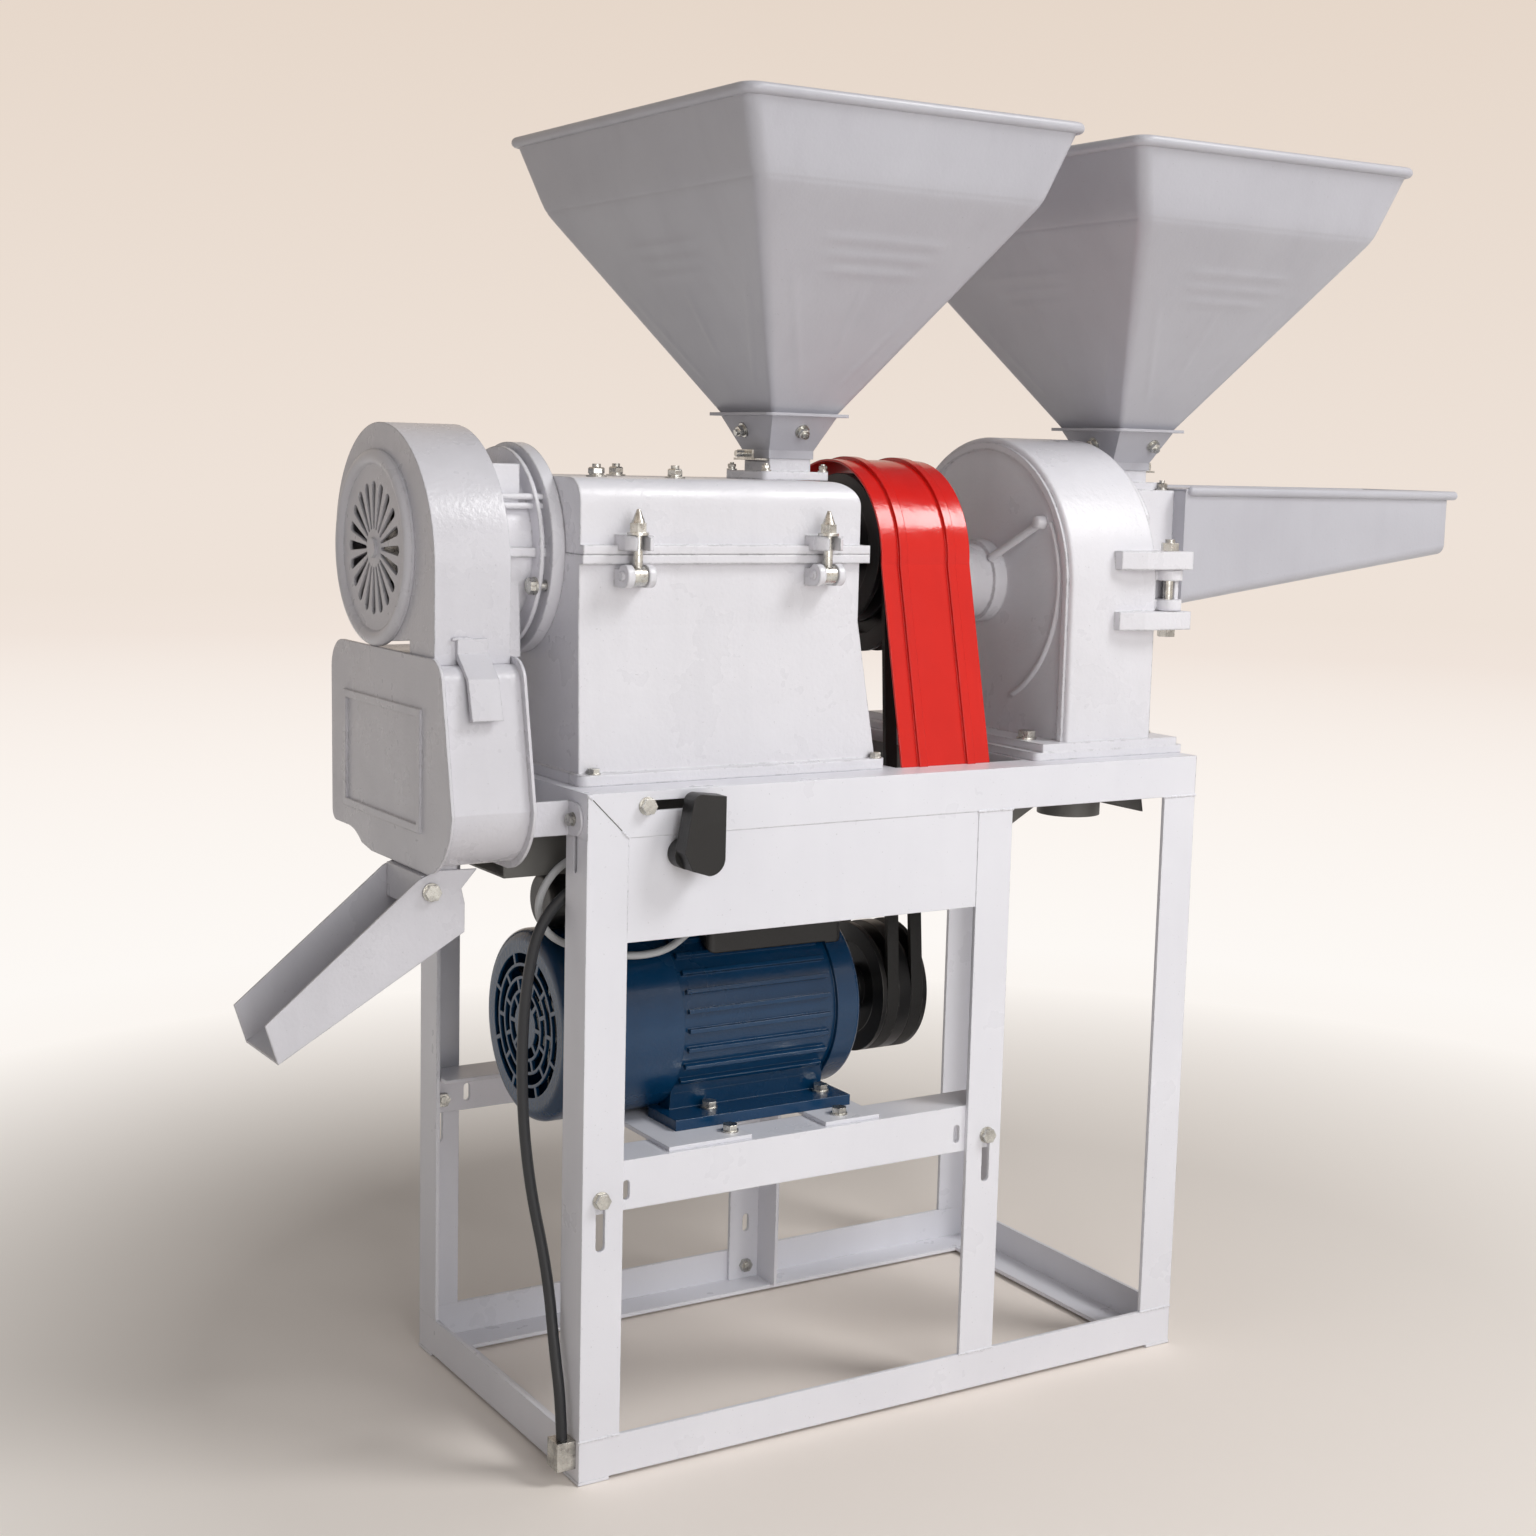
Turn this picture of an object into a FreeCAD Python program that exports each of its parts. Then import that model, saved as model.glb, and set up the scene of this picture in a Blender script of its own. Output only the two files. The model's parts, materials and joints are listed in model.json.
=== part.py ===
"""Combined rice huller and grinder on one welded angle-iron stand.

The huller (left), its bran fan and separator, and the disc grinder (right) sit on the
stand's top ring.  One electric motor on two slotted rails below drives both shafts with
V-belts under a sheet guard.  Units are millimetres.

While modelling, X runs along the stand from its left side, Y from its front face to its
back, and Z up from the floor.  The last step moves every piece by one datum shift, so that
the origin is the middle of the machine's bounding box, on the floor.
"""
import FreeCAD, Part
import math
import os

os.makedirs("parts", exist_ok=True)
V = FreeCAD.Vector

# ---------------------------------------------------------------- driving dimensions
frame_length = 685.0          # stand, outside
frame_depth = 360.0
frame_height = 618.0
leg = 40.0                    # angle iron of the stand
iron = 4.0
front_middle_post_x = frame_length - 231.0  # right edge of the extra front post
back_middle_post_x = 400.0    # right edge of the extra back post
cross_member_left_x = 304.0   # hidden members that carry the castings
cross_member_right_x = frame_length - 189.0
foot_pad_lip = 0.5
foot_pad_thickness = 3.0
foot_pad_size = 30.0

panel_height = 92.0           # sheet below the front rail
panel_thickness = 2.0
panel_setback = 0.5

rail_leg = 45.0               # angle iron of the motor rails
rail_top = 290.0
rail_end_gap = 1.0
adjust_slot_length = 54.0
adjust_slot_width = 9.0
adjust_slot_top = 266.0

shaft_y = 180.0               # both machine shafts lie over this line
huller_shaft_z = frame_height + 200.0
grinder_shaft_z = frame_height + 167.0
bolt_clearance = 0.5          # radial, bolt in its hole
running_clearance = 0.05      # radial, shaft or pin in its bore
part_gap = 0.5                # between faces that pass each other

# motor
motor_y = 140.0
motor_shaft_height = 90.0
cross_bar_thickness = 4.0
motor_cover_left = 10.0
motor_cover_right = 128.0
motor_shield_x = 295.0
motor_right = 322.0
motor_body_radius = 84.0
motor_cover_radius = 89.0
motor_cover_wall = 3.0
motor_rib_height = 5.0
motor_rib_width = 4.0
motor_rib_count = 30
motor_shaft_radius = 12.0
foot_plate_thickness = 10.0
foot_left = 118.0
foot_right = 308.0
foot_hole_x = (166.0, 289.0)
foot_spread = 140.0           # between bolt rows, across the motor
foot_reach = 93.0             # axis to the outer edge of a foot

# drive
belt_huller_x = 375.0
belt_grinder_x = 403.0
belt_width = 13.0
belt_depth = 9.0
belt_clearance = 0.4
groove_floor_gap = 2.0
groove_angle = 17.0
pulley_flank = 5.0
motor_pitch_radius = 60.0
huller_pitch_radius = 69.0
grinder_pitch_radius = 65.0

# belt guard
guard_left = 350.0
guard_right = 453.0
guard_sheet = 2.0
guard_arch_radius = 98.0
guard_arch_z = frame_height + 189.0
guard_foot_y = 38.0
guard_rib_height = 3.0
guard_rib_width = 9.0
guard_rib_inset = 19.0

# huller
huller_left = 18.0
huller_right = 308.0
huller_half_depth = 122.0
huller_wall = 6.0
huller_flange_left = 12.0
huller_flange_right = 332.0
huller_flange_half_depth = 142.0
huller_flange_thickness = 10.0
huller_crease_z = frame_height + 138.0
huller_flare_x = 20.0
huller_flare_y = 8.0
rim_thickness = 8.0
rim_lip = 7.0
cover_height = 66.0
cover_wall = 6.0
cover_round = 22.0
shaft_radius = 15.0
bearing_radius = 31.0
bearing_width = 16.0
roller_left = 62.0
roller_right = 278.0
roller_radius = 38.0
roller_rib_height = 4.0
roller_rib_width = 8.0
roller_rib_count = 4
screen_gap = 5.0
screen_thickness = 2.0
clamp_x = (66.0, 262.0)
clamp_pivot_drop = 18.0
clamp_offset = 17.0           # swing bolt axis in front of the box face
clamp_bolt_radius = 4.5
clamp_lug_width = 28.0
clamp_lug_height = 13.0
hinge_x = (84.0, 248.0)
hinge_offset = 16.0
hinge_pin_radius = 5.0
hinge_knuckle_radius = 8.5

# feed of both machines
neck_half_x = 23.0
neck_half_y = 23.0
neck_wall = 4.0
neck_height = 28.0
neck_flange_half_x = 37.0
neck_flange_half_y = 37.0
neck_flange_thickness = 8.0
gate_thickness = 2.0
gate_slot_rise = 18.0
funnel_top_half_x = 37.0
funnel_top_half_y = 50.0
funnel_height = 35.0
funnel_sheet = 2.0
funnel_flange_lip = 9.0
funnel_flange_thickness = 3.0
hopper_sheet = 1.5
hopper_rim_half_x = 177.2
hopper_rim_half_y = 228.2
hopper_fold_half_x = 154.4
hopper_fold_half_y = 208.6
hopper_pyramid_height = 193.0
hopper_band_height = 67.0
hopper_rim_radius = 5.0
rice_hopper_x = 291.0
grain_hopper_x = frame_length + 29.0  # bran fan, casting and separator
fan_left = -118.0
fan_right = -49.0
fan_sheet = 2.5
scroll_first_radius = 87.0
scroll_step = 18.0
scroll_centre_y = 193.0
scroll_centre_z = huller_shaft_z + 4.0
tongue_z = huller_shaft_z - 75.0  # where the duct's back wall meets the scroll
duct_depth = 53.0
fan_inlet_radius = 72.0
grille_radius = 86.0
grille_thickness = 3.0
grille_bead = 7.0
grille_slots = 20
grille_slot_inner = 18.0
grille_slot_outer = 58.0
impeller_radius = 68.0
impeller_blades = 8
barrel_radius = 75.0
barrel_wall = 8.0
flange_radius = 95.0
flange_thickness = 12.0
casting_rib_count = 6
separator_left = -122.0
separator_right = -45.0
separator_sheet = 3.0
separator_lip = 6.0
separator_top = huller_shaft_z - 86.0
separator_front = 5.0
separator_back = 281.0
separator_bottom = frame_height - 69.0
spout_front = 62.0
spout_back = 138.0
spout_bottom = frame_height - 101.0
chute_pivot_x = -117.0
chute_pivot_z = frame_height - 85.0
chute_sheet = 2.0
chute_side_gap = 0.5

# grinder
drum_left = frame_length - 142.0
drum_right = frame_length - 35.0
drum_radius = 146.0
drum_wall = 12.0
drum_rim_width = 7.0
drum_rim_height = 3.0
mouth_radius = 112.0
base_plate_left = frame_length - 185.0
base_plate_right = frame_length + 5.0
base_plate_half_depth = 154.0
base_step = 8.0
hub_left = frame_length - 207.0
hub_radius = 38.0
hub_collar_radius = 42.0
hub_collar_length = 15.0
grinder_shaft_radius = 15.0
rotor_radius = 95.0
rotor_thickness = 10.0
rotor_claws = 9
ring_screen_radius = 106.0
door_thickness = 11.5
door_radius = 138.0
door_hinge_x = frame_length - 17.0
door_hinge_y = 36.0
door_pin_radius = 5.0
door_chord = 26.0             # the door's edge stays this far behind its hinge pin
knuckle_radius = 14.0
knuckle_bottom = grinder_shaft_z - 22.5
knuckle_top = grinder_shaft_z + 18.5
hinge_block_height = 18.0
inlet_half_width = 52.0
inlet_right = frame_length + 67.0
inlet_bottom = grinder_shaft_z - 17.0
inlet_top = grinder_shaft_z + 96.0
inlet_wall = 5.0
tray_right = frame_length + 462.0
tray_half_width = 70.0
tray_sheet = 1.5
tray_end_bottom = grinder_shaft_z + 29.0
tray_start_bottom = grinder_shaft_z - 24.0
tray_rim_radius = 5.0
tray_rim_lip = 10.0

# electrical
switch_x = 91.0
switch_z = frame_height - 56.0
switch_box_half = 24.0
switch_box_depth = 36.0
handle_length = 72.0
handle_width = 30.0
handle_thickness = 18.0
power_cord_radius = 5.0
motor_lead_radius = 3.5

# ---------------------------------------------------------------- derived places
mid_y = frame_depth / 2
ring_bottom = frame_height - leg
motor_z = rail_top + cross_bar_thickness + motor_shaft_height
cover_top = huller_shaft_z + cover_height
grinder_base_top = frame_height + 2 * base_step
duct_front = scroll_centre_y - 3 * scroll_step - scroll_first_radius
duct_bottom = separator_top - separator_lip
huller_front = shaft_y - huller_half_depth
huller_back = shaft_y + huller_half_depth

pieces = {}


def add(name, *shapes):
    """Keep a finished piece, or a group of separate solids, under its name."""
    solids = [solid for shape in shapes for solid in shape.Solids]
    pieces[name] = solids[0] if len(solids) == 1 else Part.makeCompound(solids)


# ---------------------------------------------------------------- shape helpers
def block(x0, x1, y0, y1, z0, z1):
    low = V(min(x0, x1), min(y0, y1), min(z0, z1))
    return Part.makeBox(abs(x1 - x0), abs(y1 - y0), abs(z1 - z0), low)


def rod(start, end, radius):
    line = end - start
    return Part.makeCylinder(radius, line.Length, start, line)


def disc_x(x0, x1, y, z, radius):
    return rod(V(x0, y, z), V(x1, y, z), radius)


def tube_x(x0, x1, y, z, outer, inner):
    return disc_x(x0, x1, y, z, outer).cut(disc_x(x0 - 1, x1 + 1, y, z, inner))


def place(plane, u, v, w):
    """A point from in-plane u, v and offset w; plane is the name of its two axes."""
    return {"xy": V(u, v, w), "xz": V(u, w, v), "yz": V(w, u, v)}[plane]


def outline(plane, offset, start, steps):
    """Closed face from a start point and steps: (u, v) is a line, (mid, end) an arc."""
    edges = []
    here = place(plane, *start, offset)
    for step in steps:
        if isinstance(step[0], tuple):
            middle = place(plane, *step[0], offset)
            there = place(plane, *step[1], offset)
            edges.append(Part.Arc(here, middle, there).toShape())
        else:
            there = place(plane, *step, offset)
            edges.append(Part.makeLine(here, there))
        here = there
    first = place(plane, *start, offset)
    if here.distanceToPoint(first) > 1e-6:
        edges.append(Part.makeLine(here, first))
    return Part.Face(Part.Wire(edges))


def prism(plane, offset, thickness, start, steps):
    along = {"xy": V(0, 0, 1), "xz": V(0, 1, 0), "yz": V(1, 0, 0)}[plane]
    return outline(plane, offset, start, steps).extrude(along * thickness)


def rectangle(x, y, half_x, half_y, z):
    points = [V(x - half_x, y - half_y, z), V(x + half_x, y - half_y, z),
              V(x + half_x, y + half_y, z), V(x - half_x, y + half_y, z)]
    return Part.makePolygon(points + points[:1])


def tapered(*wires):
    return Part.makeLoft(list(wires), True, True)


def round_edges(shape, radius, chosen):
    edges = [edge for edge in shape.Edges if chosen(edge)]
    return shape.makeFillet(radius, edges) if edges else shape


def on_line(edge, **fixed):
    """True for a straight edge whose two ends share the fixed coordinates."""
    for vertex in edge.Vertexes:
        for axis, value in fixed.items():
            if abs(getattr(vertex.Point, axis) - value) > 0.01:
                return False
    return len(edge.Vertexes) == 2


def slot_cutter(plane, offset, depth, u, v, half_length, radius, lengthwise):
    """A round-ended slot through a sheet; lengthwise is the in-plane axis it runs along."""
    run = half_length - radius
    if lengthwise == "u":
        return prism(plane, offset, depth, (u - run, v - radius),
                     [(u + run, v - radius), ((u + run + radius, v), (u + run, v + radius)),
                      (u - run, v + radius), ((u - run - radius, v), (u - run, v - radius))])
    return prism(plane, offset, depth, (u + radius, v - run),
                 [(u + radius, v + run), ((u, v + run + radius), (u - radius, v + run)),
                  (u - radius, v - run), ((u, v - run - radius), (u + radius, v - run))])


def hexagon(start, direction, across_flats, height):
    """A hexagonal prism for bolt heads and nuts."""
    turn = FreeCAD.Rotation(V(0, 0, 1), direction)
    reach = across_flats / math.sqrt(3)
    corners = [start + turn.multVec(V(reach * math.cos(math.radians(60 * k)),
                                      reach * math.sin(math.radians(60 * k)), 0))
               for k in range(7)]
    return Part.Face(Part.makePolygon(corners)).extrude(direction * height)


bolts = []


def fasten(names, head_at, direction, grip, size=8.0, nut=True):
    """Drill the named pieces and put a bolt, washer and nut through them.

    head_at is where the washer lies; direction points from the head into the work.
    """
    way = V(*direction)
    seat = V(*head_at)
    radius = size / 2
    hole = rod(seat - way * 2, seat + way * (grip + 2), radius + bolt_clearance)
    for name in names:
        pieces[name] = pieces[name].cut(hole)
    washer_thickness = size * 0.2
    head = rod(seat - way * washer_thickness, seat, size)
    head = head.fuse(hexagon(seat - way * (washer_thickness + size * 0.65), way,
                             size * 1.6, size * 0.65))
    tail = size * 0.9 if nut else 0.0
    shank = rod(seat - way * 0.5, seat + way * (grip + tail), radius)
    bolt = head.fuse(shank)
    if nut:
        bolt = bolt.fuse(hexagon(seat + way * grip, way, size * 1.6, size * 0.7))
    bolts.append(bolt.removeSplitter())


# ---------------------------------------------------------------- stand
def angle_iron(x, y, way_x, way_y, z0, z1):
    """Upright angle: outer corner at x, y, legs towards way_x and way_y."""
    face = block(x, x + way_x * leg, y, y + way_y * iron, z0, z1)
    return face.fuse(block(x, x + way_x * iron, y, y + way_y * leg, z0, z1)).removeSplitter()


def make_posts():
    """Six upright angle irons; the two middle ones carry the motor rails' right ends."""
    posts = {"post_front_left": (0, 0, 1, 1),
             "post_front_right": (frame_length, 0, -1, 1),
             "post_back_left": (0, frame_depth, 1, -1),
             "post_back_right": (frame_length, frame_depth, -1, -1),
             "post_front_middle": (front_middle_post_x, 0, -1, 1)}
    for name, corner in posts.items():
        add(name, angle_iron(*corner, leg, ring_bottom))
    inner = angle_iron(back_middle_post_x, frame_depth - iron, -1, -1,
                       foot_pad_thickness + iron, frame_height - iron)
    add("post_back_middle", inner)


def angle_ring(z0, z1, flange_at_top):
    """Four mitred angle irons: upright legs outside, flat legs pointing inwards."""
    ring = block(0, frame_length, 0, frame_depth, z0, z1)
    flat = (z1 - iron, z1) if flange_at_top else (z0, z0 + iron)
    upright = (z0, z1 - iron) if flange_at_top else (z0 + iron, z1)
    ring = ring.cut(block(iron, frame_length - iron, iron, frame_depth - iron, *upright))
    return ring.cut(block(leg, frame_length - leg, leg, frame_depth - leg, *flat))


def make_base_ring():
    """Four mitred angle irons, with a thin pad welded under each corner."""
    ring = angle_ring(foot_pad_thickness, leg, flange_at_top=False)
    for x, way_x in ((0, 1), (frame_length, -1)):
        for y, way_y in ((0, 1), (frame_depth, -1)):
            pad = block(x - way_x * foot_pad_lip, x + way_x * foot_pad_size,
                        y - way_y * foot_pad_lip, y + way_y * foot_pad_size,
                        0, foot_pad_thickness)
            ring = ring.fuse(pad)
    add("base_ring", ring.removeSplitter())


def make_top_rails():
    ring = angle_ring(ring_bottom, frame_height, flange_at_top=True)
    length, depth, half = frame_length, frame_depth, frame_depth / 2
    sectors = {"top_rail_front": [(0, 0), (length, 0), (length - half, half), (half, half)],
               "top_rail_back": [(0, depth), (length, depth), (length - half, half),
                                 (half, half)],
               "top_rail_left": [(0, 0), (half, half), (0, depth)],
               "top_rail_right": [(length, 0), (length - half, half), (length, depth)]}
    for name, corners in sectors.items():
        sector = prism("xy", ring_bottom - 1, leg + 2, corners[0], corners[1:])
        add(name, ring.common(sector))
    mitre = prism("xz", 0, iron, (0, ring_bottom), [(leg, ring_bottom), (0, frame_height)])
    mitre = mitre.common(pieces["top_rail_front"])
    pieces["top_rail_front"] = pieces["top_rail_front"].cut(mitre)
    pieces["post_front_left"] = pieces["post_front_left"].fuse(mitre).removeSplitter()


def make_cross_members():
    members = []
    for x in (cross_member_left_x, cross_member_right_x):
        flat = block(x, x + leg, iron, frame_depth - iron, frame_height - 2 * iron,
                     frame_height - iron)
        upright = block(x, x + iron, iron, frame_depth - iron, ring_bottom,
                        frame_height - iron)
        pad = block(x, x + leg, leg, frame_depth - leg, frame_height - 2 * iron, frame_height)
        members.append(flat.fuse([upright, pad]).removeSplitter())
    add("top_cross_members", *members)


def make_front_panel():
    right = front_middle_post_x - leg
    sheet = block(leg, right, panel_setback, panel_setback + panel_thickness,
                  ring_bottom - panel_height, ring_bottom)
    add("front_panel", sheet)


def make_motor_rails():
    low = rail_top - rail_leg
    x0 = iron + rail_end_gap
    front_end = front_middle_post_x - iron - rail_end_gap
    back_end = back_middle_post_x - leg
    for name, x1, y, way in (("motor_rail_front", front_end, iron, 1),
                             ("motor_rail_back", back_end + leg - iron - rail_end_gap,
                              frame_depth - 2 * iron, -1)):
        rail = block(x0, x1, y, y + way * iron, low, rail_top)
        rail = rail.fuse(block(x0, x1, y, y + way * rail_leg, rail_top - iron, rail_top))
        for x in (x0 + 40, x1 - 45):
            rail = rail.cut(slot_cutter("xz", y - 5, 14, x, low + 18, 9, 3.5, "v"))
        add(name, rail.removeSplitter())
    spacer = block(10, 30, frame_depth - 2 * iron, frame_depth - iron, low + 4, rail_top - 6)
    reach = 2 * iron + 0.5
    bars = []
    for x0, x1 in ((90.0, 176.0), (256.0, 316.0)):
        bars.append(block(x0, x1, reach, frame_depth - iron - reach, rail_top,
                          rail_top + cross_bar_thickness))
    add("motor_cross_bars", *bars, spacer)


def cut_adjusting_slots():
    """Vertical slots in the posts let the motor rails drop to tighten the belts."""
    centre = adjust_slot_top - adjust_slot_length / 2
    slots = (("post_front_left", 18.0, -1), ("post_front_middle", front_middle_post_x - 17, -1),
             ("post_back_left", 18.0, frame_depth - 6),
             ("post_back_middle", 376.0, frame_depth - 10))
    for name, x, y in slots:
        cutter = slot_cutter("xz", y, 8, x, centre, adjust_slot_length / 2,
                             adjust_slot_width / 2, "v")
        pieces[name] = pieces[name].cut(cutter)
    strap_slot = slot_cutter("yz", -2, 8, 22.0, ring_bottom - 1.5, 29.5, 3.3, "v")
    for name in ("post_front_left", "top_rail_left"):
        pieces[name] = pieces[name].cut(strap_slot)
    lower_slot = slot_cutter("xz", frame_depth - 10, 8, 380.0, 70.0, 10, 4.0, "v")
    pieces["post_back_middle"] = pieces["post_back_middle"].cut(lower_slot)
    rail_slot = slot_cutter("xz", -1, 8, 76.0, frame_height - 13, 24.0, 4.5, "u")
    pieces["top_rail_front"] = pieces["top_rail_front"].cut(rail_slot)


# ---------------------------------------------------------------- motor
def make_motor():
    y, z = motor_y, motor_z
    body = disc_x(motor_cover_right, motor_shield_x, y, z, motor_body_radius)
    ribs = []
    for k in range(motor_rib_count):
        angle = 360.0 / motor_rib_count * (k + 0.5)
        rib = block(motor_cover_right + 6, motor_shield_x - 8, y - motor_rib_width / 2,
                    y + motor_rib_width / 2, z + motor_body_radius - 6,
                    z + motor_body_radius + motor_rib_height)
        rib.rotate(V(0, y, z), V(1, 0, 0), angle)
        ribs.append(rib)
    body = body.fuse(ribs)
    shield = disc_x(motor_shield_x, motor_right, y, z, motor_body_radius + 4)
    shield = shield.makeFillet(6, [e for e in shield.Edges
                                   if e.Closed and abs(e.BoundBox.Center.x - motor_right) < 1])
    nose = disc_x(motor_right, motor_right + 8, y, z, 34)
    body = body.fuse([shield, nose])
    for way in (-1, 1):
        outer = y + way * foot_reach
        plate = block(foot_left, foot_right, outer, y + way * 40,
                      z - motor_shaft_height, z - motor_shaft_height + foot_plate_thickness)
        web = prism("yz", foot_left + 12, foot_right - foot_left - 24,
                    (y + way * 57, z - motor_shaft_height),
                    [(y + way * 63, z - 50), (y + way * 40, z - 50),
                     (y + way * 40, z - motor_shaft_height)])
        body = body.fuse([plate, web])
    body = body.cut(block(foot_left - 5, foot_right + 5, y - 39.9, y + 39.9,
                          z - motor_shaft_height - 5, z - motor_body_radius - 1))
    body = body.cut(disc_x(motor_cover_right - 1, motor_right + 20, y, z,
                           motor_shaft_radius + running_clearance))
    body = body.cut(disc_x(motor_cover_right + 14, motor_shield_x - 4, y, z, 64))
    add("motor_body", body.removeSplitter())


def make_motor_cover():
    y, z = motor_y, motor_z
    outer = disc_x(motor_cover_left, motor_cover_right, y, z, motor_cover_radius)
    outer = outer.makeFillet(12, [e for e in outer.Edges if e.Closed
                                  and abs(e.BoundBox.Center.x - motor_cover_left) < 1])
    inside = motor_cover_left + motor_cover_wall
    inner = disc_x(inside, motor_cover_right + 1, y, z, motor_cover_radius - motor_cover_wall)
    inner = inner.makeFillet(12 - motor_cover_wall,
                             [e for e in inner.Edges if e.Closed
                              and abs(e.BoundBox.Center.x - inside) < 1])
    cover = outer.cut(inner)
    rings = (20.0, 32.0, 44.0, 56.0, 68.0)
    spokes = 8
    for k in range(len(rings) - 1):
        inside, outside = rings[k] + 1.5, rings[k + 1] - 1.5
        band = tube_x(motor_cover_left - 1, motor_cover_left + motor_cover_wall + 1, y, z,
                      outside, inside)
        bars = []
        for n in range(spokes):
            bar = block(motor_cover_left - 2, motor_cover_left + 6, y - 2, y + 2,
                        z, z + motor_cover_radius)
            bar.rotate(V(0, y, z), V(1, 0, 0), 360.0 / spokes * (n + 0.5 * (k % 2)))
            bars.append(bar)
        cover = cover.cut(band.cut(bars))
    add("motor_fan_cover", cover)


def make_motor_box():
    """Terminal box on the shell, and the capacitor that lies on the fan cover."""
    y0, y1 = motor_y - 62, motor_y + 30
    x0, x1 = motor_cover_right + 38, motor_shield_x + 20
    box = block(x0, x1, y0, y1, motor_z + 40, motor_z + 116)
    box = round_edges(box, 8, lambda e: on_line(e, z=motor_z + 116)
                      or (on_line(e, x=x0) and on_line(e, y=y0))
                      or (on_line(e, x=x1) and on_line(e, y=y0)))
    clear = disc_x(x0 - 1, motor_shield_x, motor_y, motor_z,
                   motor_body_radius + motor_rib_height + 0.2)
    shield = disc_x(motor_shield_x - 1, x1 + 1, motor_y, motor_z, motor_body_radius + 4.2)
    box = box.cut(clear).cut(shield)
    radius = 26.0
    z = motor_z + motor_cover_radius + radius + 0.2
    capacitor = disc_x(motor_cover_left + 14, x0 - part_gap, motor_y, z, radius)
    capacitor = capacitor.makeFillet(6, [e for e in capacitor.Edges if e.Closed])
    add("motor_terminal_box", box, capacitor)


def make_motor_rotor():
    y, z = motor_y, motor_z
    shaft = disc_x(motor_cover_left + 16, belt_grinder_x + 12, y, z, motor_shaft_radius)
    core = disc_x(motor_cover_right + 30, motor_shield_x - 18, y, z, 58)
    fan_hub = disc_x(motor_cover_left + 22, motor_cover_left + 60, y, z, 24)
    blades = []
    for k in range(6):
        blade = block(motor_cover_left + 24, motor_cover_left + 58, y - 1.5, y + 1.5,
                      z + 20, z + 76)
        blade.rotate(V(0, y, z), V(1, 0, 0), 60.0 * k)
        blades.append(blade)
    add("motor_rotor", shaft.fuse([core, fan_hub] + blades).removeSplitter())


# ---------------------------------------------------------------- belts and pulleys
def groove_profile(x, pitch):
    """Half-section points of one V groove, from its left lip to its right lip."""
    rim = pitch + belt_depth / 2
    floor = pitch - belt_depth / 2 - groove_floor_gap
    top = belt_width / 2 + belt_clearance
    slope = math.tan(math.radians(groove_angle))
    bottom = top - (rim - floor) * slope
    return [(x - top, rim), (x - bottom, floor), (x + bottom, floor), (x + top, rim)]


def pulley(y, z, grooves, bore, left, right):
    """A turned V-belt pulley; grooves are (x, pitch radius) pairs from left to right."""
    half = belt_width / 2 + belt_clearance + pulley_flank
    points = [(grooves[0][0] - half, bore)]
    points.append((grooves[0][0] - half, grooves[0][1] + belt_depth / 2))
    for x, pitch in grooves:
        points += groove_profile(x, pitch)
    points.append((grooves[-1][0] + half, grooves[-1][1] + belt_depth / 2))
    points.append((grooves[-1][0] + half, bore))
    wire = Part.makePolygon([V(x, y, z + r) for x, r in points + points[:1]])
    body = Part.Face(wire).revolve(V(0, y, z), V(1, 0, 0), 360)
    dish = 6.0
    deepest = min(pitch for _, pitch in grooves) - belt_depth / 2 - groove_floor_gap - 7
    for x0, x1 in ((grooves[0][0] - half, grooves[0][0] - half + dish),
                   (grooves[-1][0] + half - dish, grooves[-1][0] + half)):
        body = body.cut(tube_x(x0, x1, y, z, deepest, bore + 11))
    hub = tube_x(left, right, y, z, bore + 9, bore)
    return body.fuse(hub).removeSplitter()


def belt(x, y0, z0, r0, y1, z1, r1):
    """A V-belt loop round two pulleys of pitch radii r0 (lower) and r1 (upper)."""
    span = math.hypot(y1 - y0, z1 - z0)
    heading = math.atan2(z1 - z0, y1 - y0)
    lean = math.acos((r0 - r1) / span)
    top_half = belt_width / 2
    low_half = top_half - belt_depth * math.tan(math.radians(groove_angle))

    def section(yc, zc, pitch, angle):
        outer, inner = pitch + belt_depth / 2, pitch - belt_depth / 2
        points = [V(x + side, yc + radius * math.cos(angle), zc + radius * math.sin(angle))
                  for side, radius in ((-top_half, outer), (top_half, outer),
                                       (low_half, inner), (-low_half, inner))]
        return Part.Face(Part.makePolygon(points + points[:1]))

    def run(angle):
        way = V(0, y1 - y0 + (r1 - r0) * math.cos(angle), z1 - z0 + (r1 - r0) * math.sin(angle))
        return section(y0, z0, r0, angle).extrude(way)
    wrap = math.degrees(2 * lean)
    top = section(y1, z1, r1, heading - lean).revolve(V(0, y1, z1), V(1, 0, 0), wrap)
    low = section(y0, z0, r0, heading + lean).revolve(V(0, y0, z0), V(1, 0, 0), 360 - wrap)
    return top.fuse([low, run(heading + lean), run(heading - lean)]).removeSplitter()


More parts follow.
